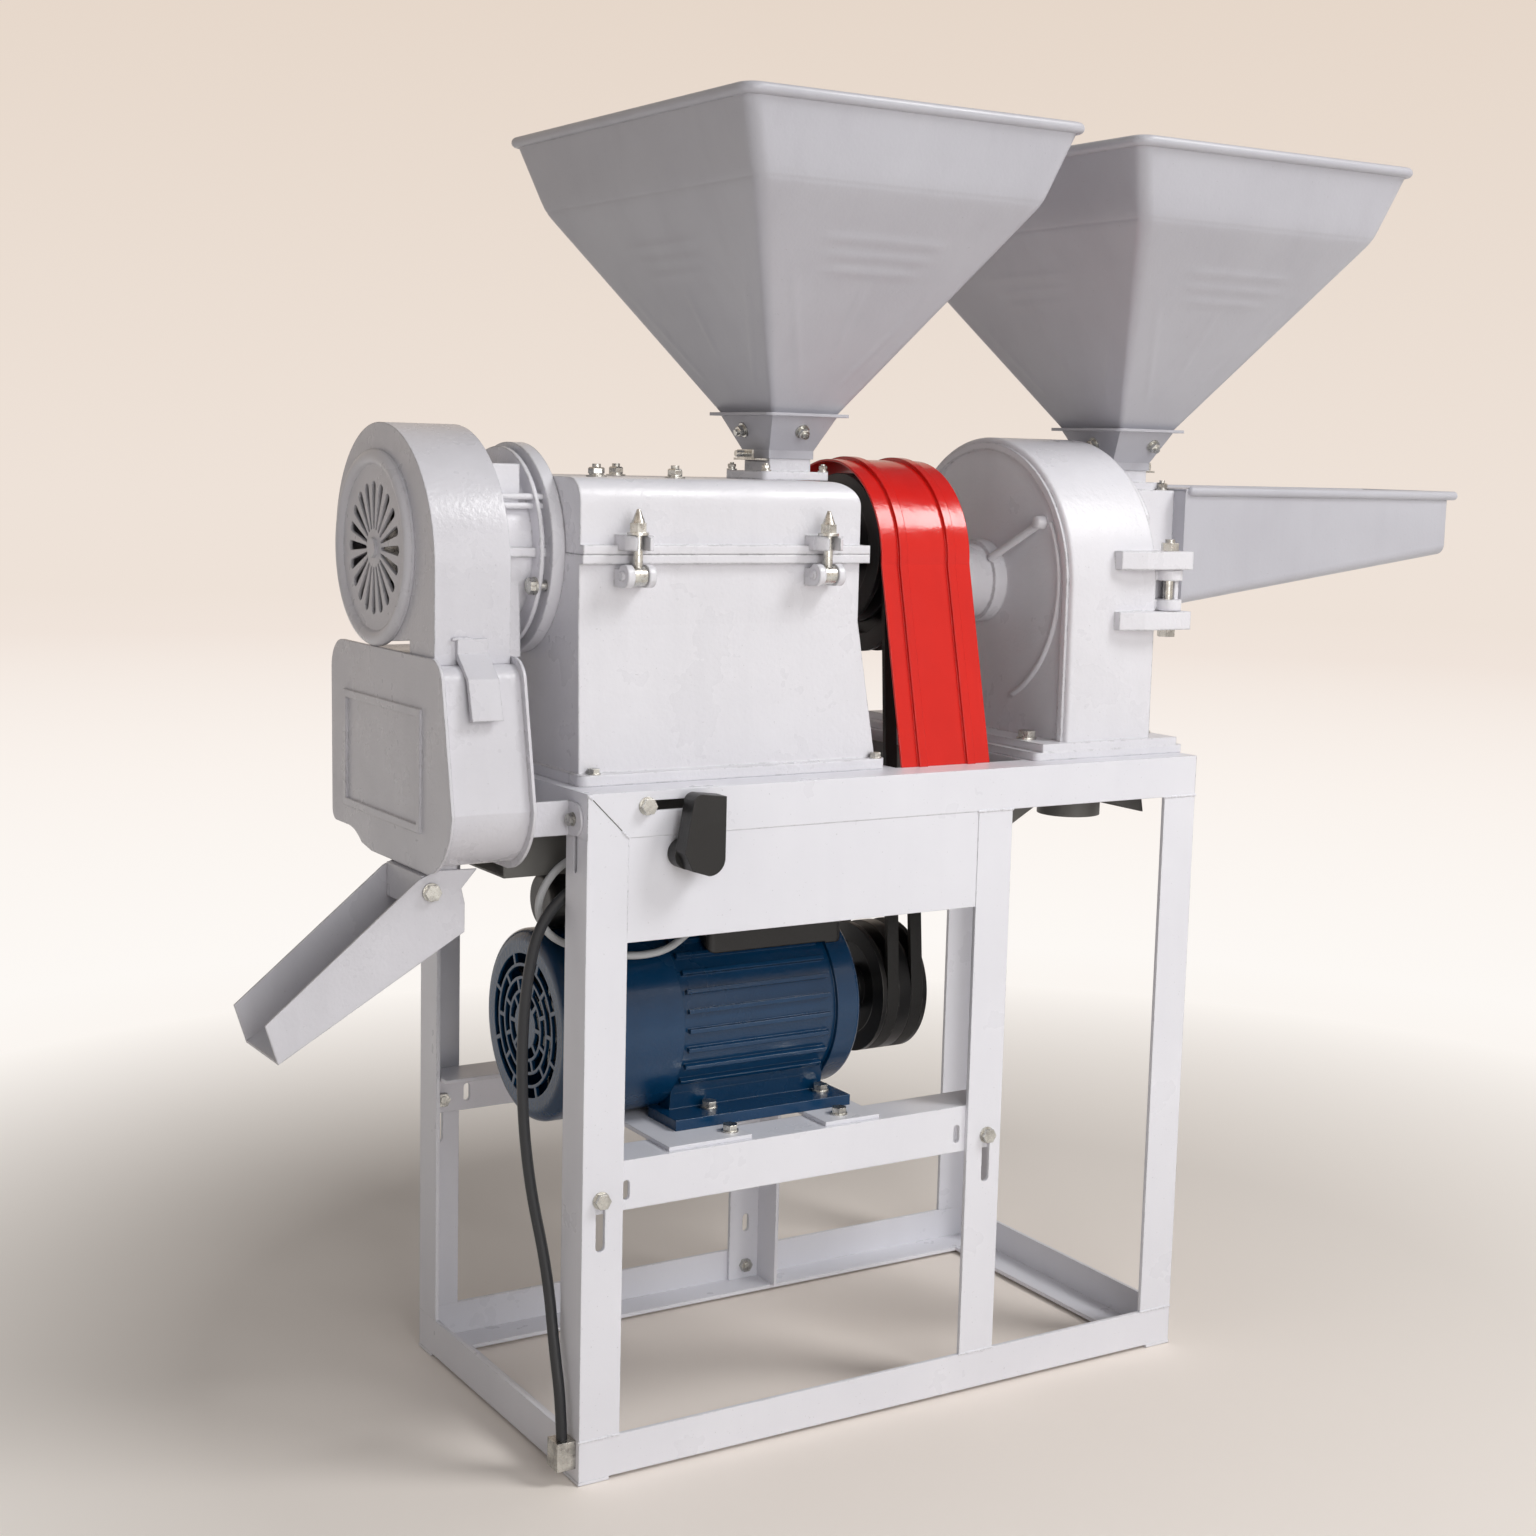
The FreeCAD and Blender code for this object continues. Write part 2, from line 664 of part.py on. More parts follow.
def make_drive():
    half = belt_width / 2 + belt_clearance + pulley_flank
    add("motor_pulley", pulley(motor_y, motor_z,
                               [(belt_huller_x, motor_pitch_radius),
                                (belt_grinder_x, motor_pitch_radius)],
                               motor_shaft_radius, belt_huller_x - half - 8,
                               belt_grinder_x + half))
    add("huller_pulley", pulley(shaft_y, huller_shaft_z,
                                [(belt_huller_x, huller_pitch_radius)], shaft_radius,
                                belt_huller_x - half - 10, belt_huller_x + half))
    add("grinder_pulley", pulley(shaft_y, grinder_shaft_z,
                                 [(belt_grinder_x, grinder_pitch_radius)],
                                 grinder_shaft_radius, belt_grinder_x - half,
                                 belt_grinder_x + half + 12))
    add("drive_belts",
        belt(belt_huller_x, motor_y, motor_z, motor_pitch_radius,
             shaft_y, huller_shaft_z, huller_pitch_radius),
        belt(belt_grinder_x, motor_y, motor_z, motor_pitch_radius,
             shaft_y, grinder_shaft_z, grinder_pitch_radius))


def make_belt_guard():
    """One folded strip over both pulleys, with two pressed ribs along it."""
    foot = shaft_y - guard_foot_y

    def strip(radius, reach, bottom):
        return [(shaft_y - radius, guard_arch_z),
                ((shaft_y, guard_arch_z + radius), (shaft_y + radius, guard_arch_z)),
                (shaft_y + reach, bottom)]

    def shell(x0, x1, grow):
        radius = guard_arch_radius + grow
        reach = foot + grow
        outer = prism("yz", x0, x1 - x0, (shaft_y - reach, frame_height),
                      strip(radius, reach, frame_height))
        inner_radius = guard_arch_radius - guard_sheet
        inner_reach = foot - guard_sheet
        inner = prism("yz", x0 - 1, x1 - x0 + 2, (shaft_y - inner_reach, frame_height - 1),
                      strip(inner_radius, inner_reach, frame_height - 1))
        return outer.cut(inner)
    guard = shell(guard_left, guard_right, 0)
    for x in (guard_left + guard_rib_inset, guard_right - guard_rib_inset - guard_rib_width):
        guard = guard.fuse(shell(x, x + guard_rib_width, guard_rib_height))
    add("belt_guard", guard.removeSplitter())


# ---------------------------------------------------------------- huller
def make_huller_body():
    mid_x = (huller_left + huller_right) / 2
    half_x = (huller_right - huller_left) / 2
    flange_top = frame_height + huller_flange_thickness
    flange = block(huller_flange_left, huller_flange_right,
                   shaft_y - huller_flange_half_depth, shaft_y + huller_flange_half_depth,
                   frame_height, flange_top)
    flange = round_edges(flange, 8, lambda e: e.Length < huller_flange_thickness + 0.1)
    low_mid = mid_x + huller_flare_x / 2 - 2
    low_half = half_x + huller_flare_x / 2
    skirt = tapered(rectangle(low_mid, shaft_y, low_half, huller_half_depth + huller_flare_y,
                              flange_top),
                    rectangle(mid_x, shaft_y, half_x, huller_half_depth, huller_crease_z))
    upper = block(huller_left, huller_right, huller_front, huller_back, huller_crease_z,
                  huller_shaft_z)
    rim = block(huller_left, huller_right + rim_lip, huller_front - rim_lip,
                huller_back + rim_lip, huller_shaft_z - rim_thickness, huller_shaft_z)
    boss = disc_x(huller_right - 2, huller_right + bearing_width + 2, shaft_y,
                  huller_shaft_z, bearing_radius + 8)
    body = flange.fuse([skirt, upper, rim])
    wall = huller_wall
    cavity = tapered(rectangle(low_mid, shaft_y, low_half - wall,
                               huller_half_depth + huller_flare_y - wall, frame_height - 1),
                     rectangle(mid_x, shaft_y, half_x - wall, huller_half_depth - wall,
                               huller_crease_z))
    cavity = cavity.fuse(block(huller_left + wall, huller_right - wall, huller_front + wall,
                               huller_back - wall, huller_crease_z, huller_shaft_z + 1))
    body = body.cut(cavity)
    upper_half = block(huller_left - 5, huller_right, shaft_y - 60, shaft_y + 60,
                       huller_shaft_z, huller_shaft_z + 60)
    body = body.fuse(boss.cut(upper_half))
    for x in clamp_x:
        body = body.fuse(clamp_bracket(x))
    pivot_y = huller_back + hinge_offset
    for x in hinge_x:
        for x0 in (x - 22, x + 10.5):
            knuckle = disc_x(x0, x0 + 11.5, pivot_y, huller_shaft_z, hinge_knuckle_radius)
            arm = block(x0, x0 + 11.5, huller_back + rim_lip - 1, pivot_y,
                        huller_shaft_z - hinge_knuckle_radius, huller_shaft_z - 0.5)
            body = body.fuse([knuckle, arm])
        body = body.cut(disc_x(x - 30, x + 30, pivot_y, huller_shaft_z, hinge_pin_radius))
    body = body.cut(disc_x(huller_left - 1, huller_right + 40, shaft_y, huller_shaft_z,
                           shaft_radius + 3))
    body = body.cut(disc_x(huller_right + 2, huller_right + bearing_width + 4, shaft_y,
                           huller_shaft_z, bearing_radius))
    add("huller_body", body.removeSplitter())


def clamp_bracket(x):
    """Fork on the box front that carries one swing bolt on a cross pin."""
    z = huller_shaft_z - clamp_pivot_drop
    y = huller_front - clamp_offset
    fork = None
    for way in (-1, 1):
        x0 = x + way * 7.0
        arm = disc_x(x0, x0 + way * 7.0, y, z, 10.0)
        arm = arm.fuse(block(x0, x0 + way * 7.0, y, huller_front + 1, z - 10.0, z + 6.0))
        fork = arm if fork is None else fork.fuse(arm)
    back = block(x - 14, x + 14, huller_front - 5, huller_front + 1, z - 10, z + 6)
    pin = disc_x(x - 17, x + 17, y, z, 4.0)
    return fork.fuse([back, pin])


def make_clamp_bolts():
    z = huller_shaft_z - clamp_pivot_drop
    y = huller_front - clamp_offset
    seat = huller_shaft_z + clamp_lug_height + 4
    for name, x in zip(("cover_clamp_left", "cover_clamp_right"), clamp_x):
        eye = disc_x(x - 6.5, x + 6.5, y, z, 8.5)
        shank = rod(V(x, y, z), V(x, y, seat + 12), clamp_bolt_radius)
        collar = rod(V(x, y, seat + 0.4), V(x, y, seat + 3), 9.5)
        nut = hexagon(V(x, y, seat + 3), V(0, 0, 1), 14, 8)
        dome = Part.makeCone(6.2, 1.5, 12, V(x, y, seat + 11))
        bolt = eye.fuse([shank, collar, nut, dome])
        bolt = bolt.cut(disc_x(x - 8, x + 8, y, z, 4.0 + running_clearance))
        add(name, bolt.removeSplitter())


def make_huller_cover():
    left = huller_left + part_gap
    base = huller_shaft_z + 0.3
    cap = block(left, huller_right, huller_front, huller_back, base, cover_top)
    cap = round_edges(cap, cover_round, lambda e: on_line(e, z=cover_top)
                      and not on_line(e, x=left))
    hollow = block(left + cover_wall, huller_right - cover_wall, huller_front + cover_wall,
                   huller_back - cover_wall, base - 1, cover_top - cover_wall)
    hollow = round_edges(hollow, cover_round - cover_wall,
                         lambda e: on_line(e, z=cover_top - cover_wall))
    rim = block(left, huller_right + rim_lip, huller_front - rim_lip,
                huller_back + rim_lip, base, base + rim_thickness)
    rim = rim.cut(block(huller_right, huller_right + rim_lip + 1, shaft_y - 41, shaft_y + 41,
                        base - 1, base + rim_thickness + 1))
    cover = cap.fuse(rim).cut(hollow)
    lug_top = base + 4 + clamp_lug_height
    for x in clamp_x:
        lug = prism("xy", base + 4, clamp_lug_height, (x - clamp_lug_width / 2, huller_front + 2),
                    [(x - clamp_lug_width / 2, huller_front - clamp_offset - 2),
                     ((x, huller_front - clamp_offset - 13),
                      (x + clamp_lug_width / 2, huller_front - clamp_offset - 2)),
                     (x + clamp_lug_width / 2, huller_front + 2)])
        axis_y = huller_front - clamp_offset
        axis_z = huller_shaft_z - clamp_pivot_drop
        swing = disc_x(x - 20, x + 20, axis_y, axis_z, lug_top - axis_z - 0.1)
        lug = lug.cut(block(x - 19, x + 19, axis_y - 20, axis_y, lug_top - 12,
                            lug_top + 1).cut(swing))
        slot = clamp_bolt_radius + 1.2
        gap = block(x - slot, x + slot, huller_front - clamp_offset - 20,
                    huller_front - clamp_offset, base - 1, base + 30)
        gap = gap.fuse(rod(V(x, huller_front - clamp_offset, base - 1),
                           V(x, huller_front - clamp_offset, base + 30), slot))
        cover = cover.fuse(lug).cut(gap)
    pivot_y = huller_back + hinge_offset
    for x in hinge_x:
        knuckle = disc_x(x - 10, x + 10, pivot_y, huller_shaft_z, hinge_knuckle_radius)
        arm = block(x - 10, x + 10, huller_back + rim_lip - 1, pivot_y, base,
                    huller_shaft_z + hinge_knuckle_radius)
        notch = block(x - 24, x + 24, huller_back + rim_lip, pivot_y + 20,
                      huller_shaft_z - 20, huller_shaft_z + 20)
        cover = cover.cut(notch).fuse([knuckle, arm])
        cover = cover.cut(disc_x(x - 12, x + 12, pivot_y, huller_shaft_z,
                                 hinge_pin_radius + running_clearance))
    cover = cover.cut(disc_x(left - 1, huller_right + 40, shaft_y, huller_shaft_z,
                             shaft_radius + 3))
    cover = cover.cut(block(rice_hopper_x - neck_half_x + neck_wall,
                            rice_hopper_x + neck_half_x - neck_wall,
                            shaft_y - neck_half_y + neck_wall,
                            shaft_y + neck_half_y - neck_wall,
                            cover_top - 30, cover_top + 1))
    add("huller_cover", cover.removeSplitter())


def make_hinge_pins():
    pivot_y = huller_back + hinge_offset
    pins = [disc_x(x - 24, x + 24, pivot_y, huller_shaft_z, hinge_pin_radius)
            for x in hinge_x]
    stem = rod(V(door_hinge_x, door_hinge_y, knuckle_bottom - hinge_block_height - 6),
               V(door_hinge_x, door_hinge_y, knuckle_top + hinge_block_height + 12),
               door_pin_radius)
    top = hexagon(V(door_hinge_x, door_hinge_y, knuckle_top + hinge_block_height + 0.5),
                  V(0, 0, 1), 16, 8)
    low = hexagon(V(door_hinge_x, door_hinge_y, knuckle_bottom - hinge_block_height - 8.5),
                  V(0, 0, 1), 16, 8)
    add("hinge_pins", *pins, stem.fuse([top, low]).removeSplitter())


def make_huller_rotor():
    y, z = shaft_y, huller_shaft_z
    add("huller_shaft", disc_x(fan_left + 14, belt_huller_x + 13, y, z, shaft_radius))
    roller = tube_x(roller_left, roller_right, y, z, roller_radius - roller_rib_height,
                    shaft_radius)
    pitch = 4.0 * (roller_right - roller_left)
    ribs = []
    for k in range(roller_rib_count):
        rib = twisted_rib(y, z, roller_left, roller_right, pitch, 360.0 / roller_rib_count * k)
        ribs.append(rib)
    add("huller_roller", roller.fuse(ribs).removeSplitter())


def twisted_rib(y, z, x0, x1, pitch, start_angle):
    """A raised rib that winds slowly along the roller."""
    sections = []
    steps = 6
    inner, outer = roller_radius - roller_rib_height - 3, roller_radius
    for k in range(steps + 1):
        x = x0 + (x1 - x0) * k / steps
        turn = math.radians(start_angle + 360.0 * (x - x0) / pitch)
        across = roller_rib_width / 2
        corners = []
        for radius, side in ((inner, -1), (outer, -1), (outer, 1), (inner, 1)):
            u, v = side * across, radius
            corners.append(V(x, y + u * math.cos(turn) - v * math.sin(turn),
                             z + u * math.sin(turn) + v * math.cos(turn)))
        sections.append(Part.makePolygon(corners + corners[:1]))
    return Part.makeLoft(sections, True, True)


def make_rice_screen():
    """Half-round screen under the roller, held on two side strips in the box."""
    y, z = shaft_y, huller_shaft_z
    inner = roller_radius + screen_gap
    outer = inner + screen_thickness
    x0, x1 = huller_left + huller_wall, huller_right - huller_wall
    trough = tube_x(x0, x1, y, z, outer, inner)
    trough = trough.cut(block(x0 - 1, x1 + 1, y - 60, y + 60, z - 14, z + 60))
    slots = []
    for angle in (-50, -25, 0, 25, 50):
        for x in range(int(roller_left) + 12, int(roller_right) - 20, 32):
            slot = block(x, x + 20, y - 1.5, y + 1.5, z - outer - 2, z - inner + 2)
            slot.rotate(V(0, y, z), V(1, 0, 0), angle)
            slots.append(slot)
    trough = trough.cut(slots)
    for way in (-1, 1):
        edge = y + way * math.sqrt(outer ** 2 - 14.0 ** 2)
        strip = block(x0, x1, edge - way * screen_thickness, y + way * (huller_half_depth
                      - huller_wall), z - 17, z - 14)
        trough = trough.fuse(strip)
    return trough.removeSplitter()


def make_bearings():
    y = shaft_y
    rings = []
    for x, z, radius in ((huller_right + 2, huller_shaft_z, shaft_radius),
                         (-14.0, huller_shaft_z, shaft_radius),
                         (hub_left + 6, grinder_shaft_z, grinder_shaft_radius),
                         (drum_left - bearing_width - 6, grinder_shaft_z,
                          grinder_shaft_radius)):
        rings.append(tube_x(x, x + bearing_width, y, z, bearing_radius,
                            radius + running_clearance))
    add("shaft_bearings", *rings)


# ---------------------------------------------------------------- feed parts
def feed_neck(x, base, gate_way):
    """Square neck with a bolting flange and a slit for the feed gate."""
    flange = block(x - neck_flange_half_x, x + neck_flange_half_x,
                   shaft_y - neck_flange_half_y, shaft_y + neck_flange_half_y,
                   base, base + neck_flange_thickness)
    flange = round_edges(flange, 5, lambda e: e.Length < neck_flange_thickness + 0.1)
    tube = block(x - neck_half_x, x + neck_half_x, shaft_y - neck_half_y,
                 shaft_y + neck_half_y, base, base + neck_height)
    bore = block(x - neck_half_x + neck_wall, x + neck_half_x - neck_wall,
                 shaft_y - neck_half_y + neck_wall, shaft_y + neck_half_y - neck_wall,
                 base - 1, base + neck_height + 1)
    slit_z = base + gate_slot_rise
    slit = block(x - gate_way * (neck_half_x - 1.5), x + gate_way * (neck_half_x + 1),
                 shaft_y - neck_half_y + 2, shaft_y + neck_half_y - 2,
                 slit_z - 0.4, slit_z + gate_thickness + 0.4)
    return flange.fuse(tube).cut(bore).cut(slit)


def make_gate(name, x, base, gate_way):
    """Sliding feed gate: a thin plate with a turned-up pull outside the neck."""
    z = base + gate_slot_rise
    inside = x - gate_way * (neck_half_x - 2.0)
    outside = x + gate_way * (neck_half_x + 14.0)
    plate = block(inside, outside, shaft_y - neck_half_y + 2.5, shaft_y + neck_half_y - 2.5,
                  z, z + gate_thickness)
    pull = block(outside, outside - gate_way * gate_thickness, shaft_y - 14, shaft_y + 14,
                 z, z + 10)
    knob = rod(V(outside, shaft_y, z + 6), V(outside + gate_way * 10, shaft_y, z + 6), 3)
    add(name, plate.fuse([pull, knob]).removeSplitter())


def make_funnel(name, x, base):
    """Short sheet funnel between hopper and neck, with a flange at its top."""
    top = base + funnel_height
    outer = tapered(rectangle(x, shaft_y, neck_half_x + funnel_sheet,
                              neck_half_y + funnel_sheet, base),
                    rectangle(x, shaft_y, funnel_top_half_x, funnel_top_half_y, top))
    inner = tapered(rectangle(x, shaft_y, neck_half_x, neck_half_y, base),
                    rectangle(x, shaft_y, funnel_top_half_x - funnel_sheet,
                              funnel_top_half_y - funnel_sheet, top))
    half_x = funnel_top_half_x + funnel_flange_lip
    half_y = funnel_top_half_y + funnel_flange_lip
    flange = block(x - half_x, x + half_x, shaft_y - half_y, shaft_y + half_y,
                   top - funnel_flange_thickness, top)
    flange = round_edges(flange, 8, lambda e: e.Length < funnel_flange_thickness + 0.1)
    flange = flange.cut(outer)
    grip = 8.0
    collar = block(x - neck_half_x - funnel_sheet, x + neck_half_x + funnel_sheet,
                   shaft_y - neck_half_y - funnel_sheet, shaft_y + neck_half_y + funnel_sheet,
                   base - grip, base)
    collar = collar.cut(block(x - neck_half_x, x + neck_half_x, shaft_y - neck_half_y,
                              shaft_y + neck_half_y, base - grip - 1, base + 1))
    add(name, outer.cut(inner).fuse([flange, collar]).removeSplitter())


def make_hopper(name, x, base):
    """Pyramid hopper: steep upper band, rolled rim, and a bolting flange at the outlet."""
    fold_z = base + hopper_pyramid_height
    rim_z = fold_z + hopper_band_height
    sheet = hopper_sheet
    x_low, y_low = funnel_top_half_x, funnel_top_half_y

    def pyramid(grow):
        low = tapered(rectangle(x, shaft_y, x_low + grow, y_low + grow, base),
                      rectangle(x, shaft_y, hopper_fold_half_x + grow,
                                hopper_fold_half_y + grow, fold_z))
        high = tapered(rectangle(x, shaft_y, hopper_fold_half_x + grow,
                                 hopper_fold_half_y + grow, fold_z),
                       rectangle(x, shaft_y, hopper_rim_half_x + grow,
                                 hopper_rim_half_y + grow, rim_z))
        return low.fuse(high)
    shell = pyramid(0).cut(pyramid(-sheet))
    half_x, half_y = x_low + funnel_flange_lip, y_low + funnel_flange_lip
    flange = block(x - half_x, x + half_x, shaft_y - half_y, shaft_y + half_y, base, base + 2.5)
    flange = round_edges(flange, 8, lambda e: e.Length < 2.6)
    flange = flange.cut(block(x - x_low + sheet, x + x_low - sheet, shaft_y - y_low + sheet,
                              shaft_y + y_low - sheet, base - 1, base + 4))
    corners = [(x - hopper_rim_half_x, shaft_y - hopper_rim_half_y),
               (x + hopper_rim_half_x, shaft_y - hopper_rim_half_y),
               (x + hopper_rim_half_x, shaft_y + hopper_rim_half_y),
               (x - hopper_rim_half_x, shaft_y + hopper_rim_half_y)]
    rim = []
    for k in range(4):
        start, end = V(*corners[k], rim_z), V(*corners[(k + 1) % 4], rim_z)
        rim.append(rod(start, end, hopper_rim_radius))
        rim.append(Part.makeSphere(hopper_rim_radius, start))
    add(name, shell.fuse([flange] + rim).removeSplitter())


# ---------------------------------------------------------------- bran fan and separator
def scroll_face(x, inset):
    """Side outline of the fan casing: three arcs that grow, and a straight duct."""
    r, a = scroll_first_radius - inset, scroll_step
    y1, z1 = scroll_centre_y, scroll_centre_z
    half = math.sqrt(0.5)
    back = (y1 + r, z1)
    top = (y1 - a, z1 + r + a)
    front = (y1 - 2 * a - a - r, z1 - a)
    lower = duct_bottom if inset == 0 else duct_bottom - 1
    duct_back = duct_front + duct_depth - inset
    tongue = (duct_back, tongue_z + inset)
    gap = math.hypot(tongue[0] - y1, tongue[1] - z1)
    meet = math.atan2(tongue[1] - z1, tongue[0] - y1) + math.acos(r / gap)
    bottom = (y1 + r * math.cos(meet), z1 + r * math.sin(meet))
    steps = [((y1 + r * half, z1 - r * half), back),
             ((y1 - a + (r + a) * half, z1 + (r + a) * half), top),
             ((y1 - a - (r + 2 * a) * half, z1 - a + (r + 2 * a) * half), front),
             (front[0], lower), (duct_back, lower), tongue]
    return outline("yz", x, bottom, steps)


def make_fan_housing():
    outer = scroll_face(fan_left, 0).extrude(V(fan_right - fan_left, 0, 0))
    inner = scroll_face(fan_left + fan_sheet, fan_sheet)
    inner = inner.extrude(V(fan_right - fan_left - 2 * fan_sheet, 0, 0))
    housing = outer.cut(inner)
    housing = housing.cut(disc_x(fan_left - 1, fan_left + fan_sheet + 1, shaft_y,
                                 huller_shaft_z, fan_inlet_radius))
    housing = housing.cut(disc_x(fan_right - fan_sheet - 1, fan_right + 1, shaft_y,
                                 huller_shaft_z, shaft_radius + 8))
    add("fan_housing", housing.removeSplitter())


def make_fan_grille():
    """Round inlet plate with radial slots that widen outwards, and a raised bead."""
    y, z = shaft_y, huller_shaft_z
    plate = disc_x(fan_left - grille_thickness, fan_left, y, z, grille_radius)
    bead_radius = grille_radius - grille_bead
    bead = Part.makeTorus(bead_radius, grille_bead, V(fan_left - 1, y, z), V(1, 0, 0))
    bead = bead.cut(disc_x(fan_left, fan_left + 20, y, z, grille_radius + 20))
    boss = disc_x(fan_left - grille_thickness - 3, fan_left, y, z, 9)
    plate = plate.fuse([bead, boss])
    slots = []
    for k in range(grille_slots):
        slot = prism("yz", fan_left - 12, 16, (y - 1.4, z + grille_slot_inner),
                     [((y, z + grille_slot_inner - 1.4), (y + 1.4, z + grille_slot_inner)),
                      (y + 4.4, z + grille_slot_outer - 4),
                      ((y, z + grille_slot_outer), (y - 4.4, z + grille_slot_outer - 4))])
        slot.rotate(V(0, y, z), V(1, 0, 0), 360.0 / grille_slots * k)
        slots.append(slot)
    add("fan_grille", plate.cut(slots).removeSplitter())


def make_impeller():
    y, z = shaft_y, huller_shaft_z
    back = fan_right - fan_sheet - 8
    plate = disc_x(back - 3, back, y, z, impeller_radius)
    hub = disc_x(fan_left + 14, back, y, z, shaft_radius + 8)
    blades = []
    for k in range(impeller_blades):
        blade = block(fan_left + 12, back, y - 1.25, y + 1.25, z + shaft_radius + 4,
                      z + impeller_radius - 2)
        blade.rotate(V(0, y, z), V(1, 0, 0), 360.0 / impeller_blades * k)
        blades.append(blade)
    wheel = plate.fuse([hub] + blades)
    wheel = wheel.cut(disc_x(fan_left, fan_right, y, z, shaft_radius))
    add("fan_impeller", wheel.removeSplitter())


def make_barrel():
    """Ribbed casting between the fan and the huller box; it holds the left bearing."""
    y, z = shaft_y, huller_shaft_z
    barrel = disc_x(fan_right, huller_left, y, z, barrel_radius)
    flange = disc_x(huller_left - flange_thickness, huller_left, y, z, flange_radius)
    back_flange = disc_x(huller_left - flange_thickness - 10, huller_left - flange_thickness
                         - 6, y, z, flange_radius - 4)
    spacer = disc_x(huller_left - flange_thickness - 7, huller_left - flange_thickness + 1,
                    y, z, flange_radius - 16)
    fan_flange = disc_x(fan_right, fan_right + 7, y, z, barrel_radius + 8)
    ribs = []
    for k in range(casting_rib_count):
        rib = block(fan_right, huller_left, y - 4, y + 4, z + barrel_radius - 8,
                    z + barrel_radius + 7)
        rib.rotate(V(0, y, z), V(1, 0, 0), 360.0 / casting_rib_count * k + 30)
        ribs.append(rib)
    pad = block(fan_right, huller_left - 30, y - 64, y + 8, z + 40, z + 76)
    skirt_left = separator_right + part_gap
    skirt = prism("yz", skirt_left, huller_left - 32 - skirt_left, (y - 70, z - 20),
                  [(y - 74, z - 92), (y - 40, z - 96), (y + 30, z - 70), (y + 30, z - 20)])
    casting = barrel.fuse([flange, back_flange, spacer, fan_flange, pad, skirt] + ribs)
    hollow = disc_x(fan_right - 1, -14.0 - 6, y, z, barrel_radius - barrel_wall)
    casting = casting.cut(hollow)
    casting = casting.cut(disc_x(-22, huller_left + 1, y, z, shaft_radius + 3))
    casting = casting.cut(disc_x(-14.0, huller_left + 1, y, z, bearing_radius))
    casting = casting.cut(pieces["huller_body"])
    add("bearing_barrel", casting.removeSplitter())


def separator_face(x, inset):
    """Side outline of the separator: flat top, leaning rounded front, stepped back."""
    front, back = separator_front, separator_back
    top, low = separator_top, separator_bottom
    steps = [(back - 29, top), ((back - 8, top - 8), (back, top - 26)),
             (back - 2, low + 26), ((back - 5, low + 18), (back - 13, low + 15)),
             (back - 38, low + 15), ((back - 60, low + 12), (back - 75, low + 4)),
             (back - 99, low), (front + 51, low),
             ((front + 18, low + 17), (front, low + 56)), (front + 22, top - 18),
             ((front + 30, top - 5), (front + 47, top))]
    face = outline("yz", x, (front + 47, top), steps)
    return face.makeOffset2D(-inset) if inset else face


def make_separator():
    """Sheet drum between two lipped side plates; rice drops out of its front spout."""
    x0, x1, t = separator_left, separator_right, separator_sheet
    drum = separator_face(x0 + 1, separator_lip).extrude(V(x1 - x0 - 2, 0, 0))
    plates = [separator_face(x0, 0).extrude(V(t, 0, 0)),
              separator_face(x1 - t, 0).extrude(V(t, 0, 0))]
    inside = separator_face(x0 + t, separator_lip + t).extrude(V(x1 - x0 - 2 * t, 0, 0))
    spout_left, spout_right = chute_pivot_x - 8, chute_pivot_x + 25
    under = separator_bottom - 2
    spout = block(spout_left, spout_right, spout_front, spout_back, spout_bottom, under)
    spout = spout.fuse(block(x0 + t, spout_right, spout_front, spout_back, under - 3,
                             separator_bottom + separator_lip + t))
    outer = drum.fuse(plates + [spout])
    throat = block(spout_left + 2, spout_right - 2, spout_front + 2, spout_back - 2,
                   spout_bottom - 1, under - 2)
    throat = throat.fuse(block(x0 + t + 2, spout_right - 2, spout_front + 2, spout_back - 2,
                               spout_bottom - 1, separator_bottom + 20))
    shell = outer.cut(inside).cut(throat)
    mouth = block(fan_left + fan_sheet, fan_right - fan_sheet, duct_front + fan_sheet,
                  duct_front + duct_depth - fan_sheet, duct_bottom - 30, duct_bottom + 1)
    shell = shell.cut(mouth)
    high, low = separator_top - 44, separator_bottom + 33
    rib = prism("yz", x0 - 2.5, 2.5, (68, high), [(246, high), (246, low), (68, low)])
    rib = rib.cut(prism("yz", x0 - 4, 6, (75, high - 7),
                        [(239, high - 7), (239, low + 7), (75, low + 7)]))
    add("separator_box", shell.fuse(rib).removeSplitter())


def make_straps():
    """Clip from the duct over the separator, and the strap that ties it to the stand."""
    x0, top = -99.0, duct_bottom + 22
    clip = prism("yz", x0, 28, (duct_front, top),
                 [(duct_front - 4, top), (duct_front - 4, duct_bottom + 10),
                  (duct_front - 26, duct_bottom - 10), (duct_front - 36, top - 66),
                  (duct_front - 32, top - 66), (duct_front - 22, duct_bottom - 11),
                  (duct_front, duct_bottom + 6)])
    clip = clip.cut(pieces["separator_box"])
    y, z0, z1 = 30.0, ring_bottom + 1, ring_bottom + 31
    strap = block(separator_right, 0, y, y + 3, z0, z1)
    tab = block(-3, 0, 22, y + 3, z0, z1)
    tab = tab.fuse(disc_x(-3, 0, 22, (z0 + z1) / 2, (z1 - z0) / 2))
    foot = block(separator_right, separator_right + 3, y, y + 28, z0, z1)
    add("separator_straps", clip, strap.fuse([tab, foot]).removeSplitter())


